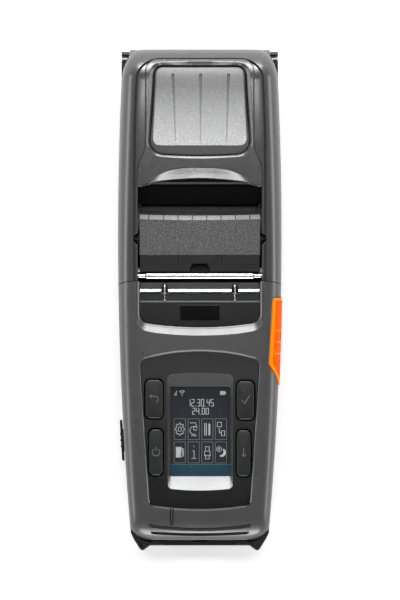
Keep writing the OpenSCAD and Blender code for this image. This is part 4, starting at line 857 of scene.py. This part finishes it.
def window_parts():
    centre = Vector((0, 94.5))
    angles = [math.radians(a) for a in range(0, 360, 3)]
    glass = ray_points(window_outline(), angles, centre)
    outer = []
    for x, y in ray_points(opening_outline(), angles, centre):
        margin = 0.3 + (0.95 + (1.1 if y > 110 else 0)) * max(0, min(1, (y - 80) / 16))
        d = Vector((x, y)) - centre
        outer.append(tuple(centre + d * (1 - margin / d.length)))

    def pane_z(x, y):
        """The pane is a flatter, slightly crowned plate: proud at its front and sunk at its rear."""
        t = (y - 75.6) / (113.4 - 75.6)
        return skin_z(x, y) + 0.1 - 1.5 * max(0, t) ** 1.4 - 0.35 * (x / 23) ** 2

    def layers(*rows):
        """Rings from (outline, scale about the centre, depth below the pane)."""
        return [[(x, y, pane_z(x, y) - drop) for x, y in (between(centre, at, t) for at in line)]
                for line, t, drop in rows]

    pane = loft("window_pane", layers((glass, 1, 1.4), (glass, 1, 0.35), (glass, 0.994, 0.1), (glass, 0.98, 0),
                                      *((glass, k / 10, 0) for k in range(9, 0, -1))))
    for x0, x1 in ((-13.1, -11.8), (0.4, 0.4), (14, 13)):
        rows = []
        for t in (k / 10 for k in range(11)):
            x, y, w = x0 + (x1 - x0) * t, 110.2 - 33.4 * t, 0.85 - 0.55 * t
            z, deep = pane_z(x, y), 1 - 0.65 * t
            rows.append([(x - w, y, z + 0.3), (x + w, y, z + 0.3), (x + 0.35 * w, y, z - deep),
                         (x - 0.35 * w, y, z - deep)])
        cut(pane, loft("cut", rows))
    finish(pane, "window", "lid", ["lid_window"])
    rim = layers((outer, 1, 1.6), (outer, 1, 0.95), (outer, 0.992, 0.7), (glass, 1.02, 0.2),
                 (glass, 1.006, 0.12), (glass, 1.004, 1.6))
    finish(loft("window_rim", rim, closed=True), "window_rim", "lid")
    tray = ray_points(opening_outline(0.6), angles, centre)
    seal = [[(x, y, skin_z(x, y) - drop) for x, y in tray] for drop in (3, 2.3)]
    seal += layers((glass, 0.97, 1.75), (glass, 0.97, 2.6))
    finish(loft("window_gasket", seal, closed=True), "seal", "lid", ["window_seal"])


# --- mouth
def shaft(name, half, *ends):
    """Turned piece along X with equal ends, from the (x, radius) pairs of its left end and its (y, z) axis."""
    return lathe_x(name, list(half) + [(-x, r) for x, r in half[::-1]], *ends)


def strip(name, profile, z, x0, x1):
    """Bar along X whose profile is given by y and by height above z."""
    return prism([(y, z + dz) for y, dz in profile], x0, x1, "x", name)


def mouth_parts():
    roller = [(-31.8, 0.7), (-31.7, 1), (-26.6, 1), (-26.5, 1.1), (-26.3, 1.35), (-26, 1.5)]
    finish(shaft("peel_roller_turned", roller, *PEEL_AXIS), "chrome", "peel", ["peel_roller"])
    bar = [(-31.8, 1.1), (-27.6, 1.25), (-27.5, 0.9), (-27.2, 0.9), (-27.1, 1.15), (-26.9, 1.25)]
    finish(shaft("guide_bar_turned", bar, *BAR_AXIS), "black_plastic", "lid", ["guide_bar"])

    # Peeler cover: the rear edge is bevelled and a little bowed, and grooves part its ribs
    half, y0, y1, top = 29.3, 21.8, 41.7, 52
    rings = []
    for u in (2 * i / 36 - 1 for i in range(37)):
        x, rear = half * u, y1 - 0.5 * (1 - u * u)
        profile = [(y0, 46), (rear, 46), (rear, 50.55), (rear - 0.12, 50.75), (rear - 1.95, 51.8),
                   (rear - 2.2, 51.95), (rear - 2.5, top), (22.4, top), (21.95, 51.85), (y0, 51.5)]
        rings.append([(x, *at) for at in profile])
    block = loft("peeler_block", rings)
    pitch = 2 * half / 9 * 1.075
    for x in [-half + 4.4] + [-half + 4.7 + pitch * k for k in range(1, 8)]:
        for y, z in ((22.6, 51.6), (39.2, 49)):
            cut(block, box((x - 0.22, y, z), (x + 0.22, 45, 53)))
    finish(block, "peeler", "peeler", ["peeler_cover"], soft=20)
    # Painted highlight on the rear bevel, the faces that look up and back.
    paint(block, "peeler_edge_highlight", lambda x, y, z, n: n.y > 0.3 and n.z > 0.3)

    skirt = box((-half, 13.7, 47), (half, 22, 49.4), "peeler_skirt")
    notch = [(-5.2, 13), (-4.2, 16.6), (-3.2, 17.6), (3.2, 17.6), (4.2, 16.6), (5.2, 13)]
    cut(skirt, prism(notch, 40, 60))
    finish(skirt, "black_plastic", "peeler", bevel=0.25)
    corners = ((half, 17.4, 0.3), (half, 21.9, 0.3), (10.6, 21.9, 0.3), (10.6, 17.4, 0.6))
    steps = [([(side * x, y, r) for x, y, r in corners], 50.3) for side in (-1, 1)]
    steps.append(([(-8.6, 18.4, 0.5), (8.6, 18.4, 0.5), (8.6, 21.9, 0.3), (-8.6, 21.9, 0.3)], 49.9))
    finish(joined("peeler_steps", [tablet("step", rounded(line, 4), 49.2, high, 0.25) for line, high in steps]),
           "black_plastic", "peeler")
    caps = [lathe_x("cap", turned(s * 30.35 - 1, s * 30.35 + 1, 2.35), *PEELER_PIVOT, 32) for s in (-1, 1)]
    finish(joined("pivot_caps", caps), "black_plastic", "peeler")

    liner = [(46.2, 42), (46.6, 43.4), (59.6, 47.5), (60.3, 50), (61.6, 50.6), (62.4, 50.2), (61.2, 46.2),
             (47.4, 41.6)]
    finish(strip("lid_inner_panel", liner, 0, -30.1, 30.1), "black_plastic", "lid",
           ["lid_liner"], bevel=0.3)
    boxes = ((29, 0.5, 43.2, 46.4, 48.6, 51.2), (29.6, 0.6, 46.2, 47, 48.8, 51.6))
    hooks = [box((side * x - w, y0, z0), (side * x + w, y1, z1)) for side in (-1, 1)
             for x, w, y0, y1, z0, z1 in boxes]
    finish(joined("bar_hooks", hooks), "black_plastic", "lid", bevel=0.2)


GUIDE_X = 17.1


def tear_edge():
    """Tear bar with its two slots, and the rib of each wire guide standing in a slot."""
    z = deck_z(3.7) - TRIM_DEPTH
    ob = strip("tear_bar", [(8.5, 0), (8.5, -1.2), (4.9, -1.6), (4.9, -4), (3.7, -4), (3.7, -1.55),
                            (3.85, -1.3), (5.2, -0.1), (5.45, 0)], z, -29, 29)
    rib = [(-0.3, -6.5), (2, -6.5), (2, -1.2), (7.2, -1.2), (7.5, 0.5), (7, 0.95), (0.2, 0.95),
           (-0.3, 0.5)]
    slot = [(-1.75, 1, 0.1), (1.75, 1, 0.1), (1.75, 5.4, 0.6), (1.05, 7.9, 0.6), (-1.05, 7.9, 0.6),
            (-1.75, 5.4, 0.6)]
    ribs = []
    for x in (-GUIDE_X, GUIDE_X):
        cut(ob, prism(counter(rounded([(x + dx, y, r) for dx, y, r in slot], 4)), z - 1.05, z + 2))
        cut(ob, box((x - 1.75, 3, z - 3.2), (x + 1.75, 4.8, z + 2)))
        ribs.append(strip("rib", rib, z, x - 0.45, x + 0.45))
    finish(ob, "dark_panel", "case", ["tear_plate"], bevel=0.06)
    paint(ob, "chrome", lambda x, y, z, n: n.y < -0.45 and n.z > 0.3)
    # Painted shade: the deep faces in the slots get the near-black rubber.
    paint(ob, "seal", lambda x, y, at, n: at < z - 0.9 and abs(abs(x) - GUIDE_X) < 1.9)
    finish(joined("wire_ribs", ribs), "chrome", "case", ["wire_guides"], bevel=0.3)


def trim_parts():
    gap, rear = 0.15, 0.85
    outline = [at for at in trim_outline(-gap) if at[1] < 20]
    outline += [(TRIM_HALF - gap, rear), (-TRIM_HALF + gap, rear)]
    plate = tablet("trim_plate", outline, -5.3, -TRIM_DEPTH)
    finish(on_deck(plate, TRIM_Y), "dark_panel", "case", ["trim_panel"])
    z = deck_z(TRIM_Y) - TRIM_DEPTH
    shelf = [(-0.9, 0.12), (-0.5, 0.02), (-0.25, -0.4), (-0.25, -3.4), (1.6, -3.6), (3.2, -3.6), (3.2, -4.4),
             (-1.5, -4.4), (-1.5, -0.4)]
    finish(strip("trim_shelf", shelf, z, -29.2, 29.2), "black_plastic", "case", bevel=0.1)
    # The strip's lighter grey is a painted highlight along the trim's edge.
    glint = [(-1.25, 0.02), (-0.75, 0.16), (-0.35, -0.12), (-0.35, -0.5), (-1.25, -0.3)]
    finish(strip("trim_edge_glint", glint, z, -29.1, 29.1), "trim_highlight", "case")
    badge = tablet("badge_blank", rect(-9.75, -8.7, 9.75, -1.2, 0.5, 4), -3.6, -2.95, 0.15)
    finish(on_deck(badge, TRIM_Y), "badge", "case", ["badge_plate"])


# --- control panel
# The lit area on the control panel, seen square to the deck
X0, X1, REAR, FRONT, DEPTH = -14.3, 14.75, -13.3, -57.5, 6.4
# name, centre in x, rear edge, length and width
KEYS = [
    ("back", -22.3, -9.8, 18.8, 8.4), ("ok", 22.3, -10.4, 18.8, 8.4),
    ("power", -21.4, -34, 22.6, 6.6), ("feed", 21.4, -34.4, 22.6, 6.6),
]


def key_outline(k, grow=0):
    _, x, rear, length, width = k
    return grown(counter(rect(x - width / 2, rear - length, x + width / 2, rear, 2.4, 8)), grow)


def panel_plate():
    ob = tablet("panel_plate", panel_outline(-0.15), -3.4, -1.4, 0.25)
    cut(ob, tablet("well_body", rect(-17.2, -61.6, 17.4, -8.2, 2), -7.6, -2.4, 0.1), "UNION")
    # The well widens upwards. Rows are growth, corner radius, and height at the front and at the rear
    rings = []
    for g, r, z, z_rear in ((0, 0.3, -9, -9), (0, 0.3, -6.35, -3.4), (0.06, 0.5, -6.2, -3.3),
                            (1.15, 1.8, -2.1, -1.9), (1.4, 2.2, -1.35, -1.45), (1.75, 2.6, -1, -1.2)):
        reach = min(g, 1.4)
        bowed = []
        line = rect(X0 - g, FRONT - 4 * reach, X1 + g, REAR + 4.4 * reach, r)
        for x, y in split(line, 10, lambda a, b: math.dist(a, b) > 8):
            bow = max(0, 1 - ((x - 0.1) / 16) ** 2) * min(1, g / 1.2)
            if y < FRONT + 2:
                bowed.append((x, y - 1 * bow, z))
            elif y > REAR - 2:
                bowed.append((x, y + 0.8 * bow, z_rear))
            else:
                bowed.append((x, y, z))
        rings.append(bowed)
    cut(ob, loft("cut", rings))
    for k in KEYS:
        cut(ob, prism(key_outline(k, 0.75), -20, 5))
    finish(on_deck(ob, PANEL_Y), "panel", "case", ["control_panel"], bevel=0.3)

    def in_well(x, y):
        return abs(x - 0.1) < 16.8 and -93 < y < -36

    def on_lip_highlight(x, y, z, n):
        return in_well(x, y) and n.y > 0.25 and n.z > 0.2 and y < -85.5

    def on_side_sheen(x, y, z, n):
        by_key = 17 < abs(x) < 28 and y > -91 and n.y > 0.3 and 0.3 < n.z < 0.97
        return by_key or in_well(x, y) and 0.12 < n.z < 0.985 and not on_lip_highlight(x, y, z, n)

    # Painted highlight on the well's front bevel.
    paint(ob, "lip_highlight", on_lip_highlight)
    # Painted sheen on the well's sides and beside the keys.
    paint(ob, "side_sheen", on_side_sheen)


def keys():
    for k in KEYS:
        name, x, rear, length, _ = k
        cap = tablet(name + "_key_cap", key_outline(k), -3.6, -0.35, 0.75, steps=5, dome=0.28)
        finish(on_deck(cap, PANEL_Y), "key", name, [name + "_key"])
        icon = stroke_icon(name + "_icon", ICONS[name], x, rear - length / 2 + 0.2, 0.02, 0.38, 0.12)
        finish(on_deck(icon, PANEL_Y), "key_icon", name)


def arc_points(cx, cy, r, start, end, n=14):
    return [(cx + r * math.cos(a), cy + r * math.sin(a))
            for a in (math.radians(start + (end - start) * i / n) for i in range(n + 1))]


ICONS = {
    "back": [[(-2, 1.3), (0.5, 1.3)] + arc_points(0.5, -0.2, 1.5, 90, -70, 10),
             [(-0.9, 2.3), (-2.1, 1.3), (-0.9, 0.3)]],
    "ok": [[(-1.9, 0.2), (-0.5, -1.7), (2.1, 2.4)]],
    "power": [arc_points(0, 0, 1.8, 125, 415, 22), [(0, 2.5), (0, 0.6)]],
    "feed": [[(0, 2.4), (0, -1.6)], [(-1, -0.6), (0, -1.8), (1, -0.6)]],
}


def stroke(points, width):
    """Flat band along a line, as pairs of points on its two sides."""
    pairs = []
    n = len(points)
    for i, at in enumerate(points):
        p, a, b = (Vector(points[j]) for j in (i, max(0, i - 1), min(n - 1, i + 1)))
        d = (b - a).normalized()
        normal = Vector((-d.y, d.x)) * width / 2
        if 0 < i < n - 1:
            normal /= max(0.55, math.cos((p - a).normalized().angle((b - p).normalized(), 0) / 2))
        pairs.append(((at[0] + normal.x, at[1] + normal.y), (at[0] - normal.x, at[1] - normal.y)))
    return pairs


def stroke_icon(name, lines, cx, cy, z, width, thick=0.05):
    """Raised marks along lines, moved to cx and cy."""
    return joined(name, [loft("stroke", [[(*a, z - thick), (*a, z), (*b, z), (*b, z - thick)]
                                         for a, b in stroke([(x + cx, y + cy) for x, y in line], width)])
                         for line in lines])


# Digits as strokes between the six points of a cell that is 1 wide and 2 high
DIGITS = {"0": "abcdef", "1": "bc", "2": "abged", "3": "abgcd", "4": "fgbc", "5": "afgcd"}
SEGMENTS = {"a": ((0, 2), (1, 2)), "b": ((1, 2), (1, 1)), "c": ((1, 1), (1, 0)), "d": ((0, 0), (1, 0)),
            "e": ((0, 1), (0, 0)), "f": ((0, 2), (0, 1)), "g": ((0, 1), (1, 1))}


def number(text, cx, cy, wide, tall):
    """Plain digits and dots from straight strokes."""
    lines = []
    cells = [0.45 if c == "." else 1 for c in text]
    step = wide * 1.6
    x = cx - sum(cells) * step / 2 + step * 0.16
    for c, cell in zip(text, cells):
        if c == ".":
            lines.append([(x, cy - 0.2), (x, cy + 0.16)])
        else:
            lines += [[(x + u * wide, cy + v * tall / 2) for u, v in SEGMENTS[s]] for s in DIGITS[c]]
        x += cell * step
    return lines


def screen():
    area = rect(X0 - 0.9, FRONT - 1.2, X1 + 0.9, REAR + 1.2)
    glass = tablet("screen_glass", area, -DEPTH - 1, -DEPTH, 0.05)
    finish(on_deck(glass, PANEL_Y), "display", "case", ["screen_lens"])
    z = -DEPTH + 0.06

    def sheet(name, parts, mat):
        finish(on_deck(joined(name, parts), PANEL_Y), mat, "case")

    def marks(lines, width, cx=0, cy=0):
        return stroke_icon("marks", lines, cx, cy, z, width)

    def patch(points):
        return tablet("patch", points, z - 0.05, z, 0.01)

    left, right, top = X0 + 0.1, X1 - 0.1, FRONT + 5.7
    sheet("screen_bar", [tablet("bar", rect(left, FRONT + 0.05, right, top), z - 0.1, z, 0.01)], "ui_bar")
    sheet("screen_bar_line", [box((left, top, z - 0.1), (right, FRONT + 6, z + 0.01))], "ui_line")
    cols, rows = (-9.8, -3, 3.7, 10.35), ((-34.4, 10.2), (-45.8, 10.3))
    frames, glyphs = [], []
    for r, (cy, tall) in enumerate(rows):
        for c, cx in enumerate(cols):
            line = rect(cx - 2.75, cy - tall / 2, cx + 2.75, cy + tall / 2)
            frames.append(marks([[line[i], line[(i + 1) % 4]] for i in range(4)], 0.22))
            glyphs.append(marks(GLYPHS[r * 4 + c], 0.26, cx, cy))
    sheet("screen_frames", frames, "ui_grey")
    first, _, third, last = cols
    sheet_corners = ((first - 1.9, -48.3), (first + 0.3, -48.3), (first + 1, -43.1), (first - 1.9, -43.1))
    solids = [
        patch(rounded([(x, y, 0.2) for x, y in sheet_corners], 3)),
        patch(rect(third + 0.55, -37.4, third + 1.4, -31.9, 0.2, 3)),
        patch(arc_points(last + 0.35, -45.9, 2.1, -110, 60) + arc_points(last - 0.55, -45.4, 1.75, 45, -95)),
    ]
    status = [
        marks(number("12.30.45", 0.4, -23.1, 1.2, 3.3), 0.3),
        marks(number("24.00", 0.4, -27.1, 1.2, 3), 0.3),
        patch(rect(9.9, -17.6, 12.4, -15.7)), patch(rect(12.4, -17.1, 12.8, -16.2)),
        marks([[(x, -17.9), (x, y)] for x, y in ((-12.4, -17.2), (-11.9, -16.4), (-11.4, -15.5))], 0.26),
        marks([arc_points(-8.7, -17.9, 2.3, 55, 125, 8), arc_points(-8.7, -17.9, 1.4, 55, 125, 6),
               [(-8.7, -17.9), (-8.7, -17.4)]], 0.4),
    ]
    sheet("screen_glyphs", glyphs + solids + status, "ui_white")


def gear_glyph():
    teeth = [(r, 2 * math.pi * i / 8 + da) for i in range(8)
             for da, r in ((-0.26, 1.7), (-0.16, 2.25), (0.16, 2.25), (0.26, 1.7))]
    pts = [(r * math.cos(a), 1.35 * r * math.sin(a)) for r, a in teeth]
    hole = [(0.8 * x, 1.1 * y) for x, y in arc_points(0, 0, 1, 0, 360)]
    return [pts + pts[:1], hole]


# Pictures in the screen's eight frames, row by row
GLYPHS = [
    gear_glyph(),
    [arc_points(0.2, -0.6, 2, 70, 290), [(-1.8, 3), (0.9, 3.2), (1.6, 1.2)],
     arc_points(0.8, 0.3, 0.9, 0, 330, 12), [(-1.2, -3.2), (1.4, -3.2)]],
    [[(-1.3, -3), (-1.3, 3), (-0.5, 3), (-0.5, -3), (-1.3, -3)], [(0.8, -2.4), (0.8, 3)]],
    [[(-1.8, 3.4), (0.2, 3.4), (0.2, 1.2), (-1.8, 1.2), (-1.8, 3.4)],
     [(0.2, -0.8), (1.8, -0.8), (1.8, -3.2), (0.2, -3.2), (0.2, -0.8)], [(-0.8, 0.6), (-0.8, -1.8), (0, -1.8)]],
    [[(1.2, 2), (1.9, 1.6), (1.9, -1.6), (1.2, -2)], [(0.6, 2.4), (1.2, 2), (1.2, -2), (0.6, -2.4)]],
    [[(-0.7, 0.9), (0.2, 0.9), (0.2, -2.8)], [(-1, -2.9), (1.3, -2.9)], [(0.1, 2.6), (0.1, 3.3)]],
    [[(-1.4, 0.6), (-1.4, -1.6), (1.4, -1.6), (1.4, 0.6), (-1.4, 0.6)],
     [(-0.9, 0.6), (-0.9, 2.8), (0.9, 2.8), (0.9, 0.6)], [(-0.9, -1), (-0.9, -3.2), (0.9, -3.2), (0.9, -1)]],
    [arc_points(-0.9, 1.6, 1.2, 0, 360, 16), arc_points(-0.9, 1.6, 0.4, 0, 360, 8)],
]


# --- orange button
def within(outline, x, y):
    hit = False
    for i in range(len(outline)):
        (x0, y0), (x1, y1) = outline[i - 1], outline[i]
        if (y0 > y) != (y1 > y) and x < x0 + (x1 - x0) * (y - y0) / (y1 - y0):
            hit = not hit
    return hit


def release_button():
    """Cap that follows the body's form, with a shallow field inside a raised rim, three ribs and a nub."""
    body = form(-0.5, name="release_button_cap")
    cut(body, form(3.4))
    cut(body, move(prism(button_outline(), -14, 20), BUTTON_FRAME), "INTERSECT")
    field = move(prism(button_outline(-1.5), -14, 20), BUTTON_FRAME)
    cut(field, form(-0.1))
    cut(body, field)
    ribs = (-14.9, -20.5, -26.1)
    nub = (-2.4, 0.6, -34.2, -33.5, -0.4)
    for x0, x1, y0, y1, d in (*((-5.2, 5, y - 0.45, y + 0.45, -0.45) for y in ribs), nub):
        raised = move(box((x0, y0, -14), (x1, y1, 14)), BUTTON_FRAME)
        cut(raised, form(d), "INTERSECT")
        cut(raised, form(1))
        cut(body, raised, "UNION")
    cut(body, box((33.4, -4.5, 22.6), (36.5, -1.5, 40.2)), "UNION")
    finish(body, "orange", "button", ["release_button"], bevel=0.3)
    inside, back = button_outline(-1.6), BUTTON_FRAME.inverted()

    def on_rim_highlight(x, y, z, n):
        p = back @ (Vector((x, y, z)) * MM) / MM
        on_rib = abs(p.x) < 5.4 and min(abs(p.y - y) for y in ribs) < 0.55
        return z > 30 and (on_rib or not within(inside, p.x, p.y))

    # Painted highlight: the rim and the ribs get the lighter orange.
    paint(body, "orange_rim_painted_highlight", on_rim_highlight)


# --- small outer parts
def bumpers():
    """Corner bumpers. Their outline is given by x, distance behind the case's front, and corner radius."""
    parts = []
    pts = [(32, 9.4, 0.8), (34, 6.8, 0.8), (32.4, 3.4, 4), (29.4, -1.4, 0.5), (28.4, -2.3, 0.4),
           (27.4, -2.1, 0.5), (23.2, 1, 0.8), (26, 6, 0.5)]
    for side in (-1, 1):
        outline = counter(rounded([(side * x, FRONT_Y + y, r) for x, y, r in pts[::side]], 4))
        ob = tablet("bumper", outline, 6, 36, 1.2, foot=1.2, steps=4)
        cut(ob, form(1.2, FRONT_Y))
        parts.append(ob)
    ob = joined("corner_bumper_pair", parts)
    cut(ob, form(1.2, TOP_Y0))
    finish(ob, "rubber", "case", ["corner_bumpers"], bevel=0.15)


def feet():
    parts = [tablet("foot", circle(7, 64, side * FOOT_X, y), 0, 2, 0.05, foot=0.5)
             for side in (-1, 1) for y in FOOT_YS]
    finish(joined("foot_pads", parts), "rubber", "case", ["rubber_feet"])


def hinge_ends():
    rod = lathe_x("hinge_rod", turned(-EAR_OUT, EAR_OUT, 1.6, 0.25), *HINGE)
    finish(rod, "pin", "case", ["hinge_pin"])


def flap():
    # local x -> body y, local y -> height, local z -> outwards on the left
    place = FLAP_FRAME @ Matrix(((0, 0, -1, 0), (1, 0, 0, 0), (0, 1, 0, 0), (0, 0, 0, 1)))
    pad = move(tablet("pad", rect(-10, 8, 10, 24, 2.2, 8), 0.4, 1.6, 0.45, steps=4), place)
    plug = move(box((-0.6, -5.5, 13), (0.9, 5.5, 20)), FLAP_FRAME)
    ridges = [move(tablet("ridge", rect(y - 0.5, 10.5, y + 0.5, 15, 0.4, 4), 1.4, 1.95, 0.25), place)
              for y in (-3, 0, 3)]
    finish(joined("flap_rubber", [pad, plug] + ridges), "rubber", "flap", ["port_flap"])


def battery():
    ob = box((-17.6, FRONT_Y + 3.9, 7), (17.6, -54.2, 25), "battery_case")
    cap = box((-17.86, FRONT_Y, 7), (17.86, FRONT_Y + 4, 26.8))
    cut(cap, lathe_x("cut", turned(-9, 9, 10, 1.5), FRONT_Y - 9, 16, 64))
    cut(ob, cap, "UNION")
    finish(ob, "battery", "battery", ["battery_pack"], bevel=0.5)


def catch():
    ob = box((-3.6, -118.7, 27.3), (3.6, -110.3, 28.8), "catch_slide")
    cut(ob, box((-3.6, -118.7, 27.3), (3.6, -116.9, 30.4)), "UNION")
    finish(ob, "black_plastic", "catch", ["battery_latch"], bevel=0.25)


# --- CAD nodes that stay
STAY = {
    "steel": "head_springs head_bracket chassis pivot_pins housing_screws board_screws button_spring latch_pin "
             "platen_shaft latch_hook",
    "black_plastic": "battery_sleeve paper_cradle media_sensor peeler_frame",
    "natural_plastic": "platen_gear idler_gear centring_pinion",
    "dark_panel": "left_roll_guide right_roll_guide",
    "tin": "key_switches stepper_motor port_block",
    "rubber": "platen_rubber pinch_roller",
    "brass": "battery_contacts motor_pinion",
    "display": "lcd_module", "board": "main_board", "ceramic": "print_head", "alloy": "heat_sink",
    "chrome": "guide_rods", "cable": "head_cable", "bronze": "platen_bushes",
}


def dress_nodes():
    for mat, names in STAY.items():
        for name in names.split():
            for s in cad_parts[name].material_slots:
                s.material = M[mat]


for build in (lower_case, front_shell, lid_shell, lid_cover, window_parts, mouth_parts, tear_edge, trim_parts,
              panel_plate, keys, screen, release_button, bumpers, feet, hinge_ends, flap, battery, catch,
              dress_nodes):
    build()
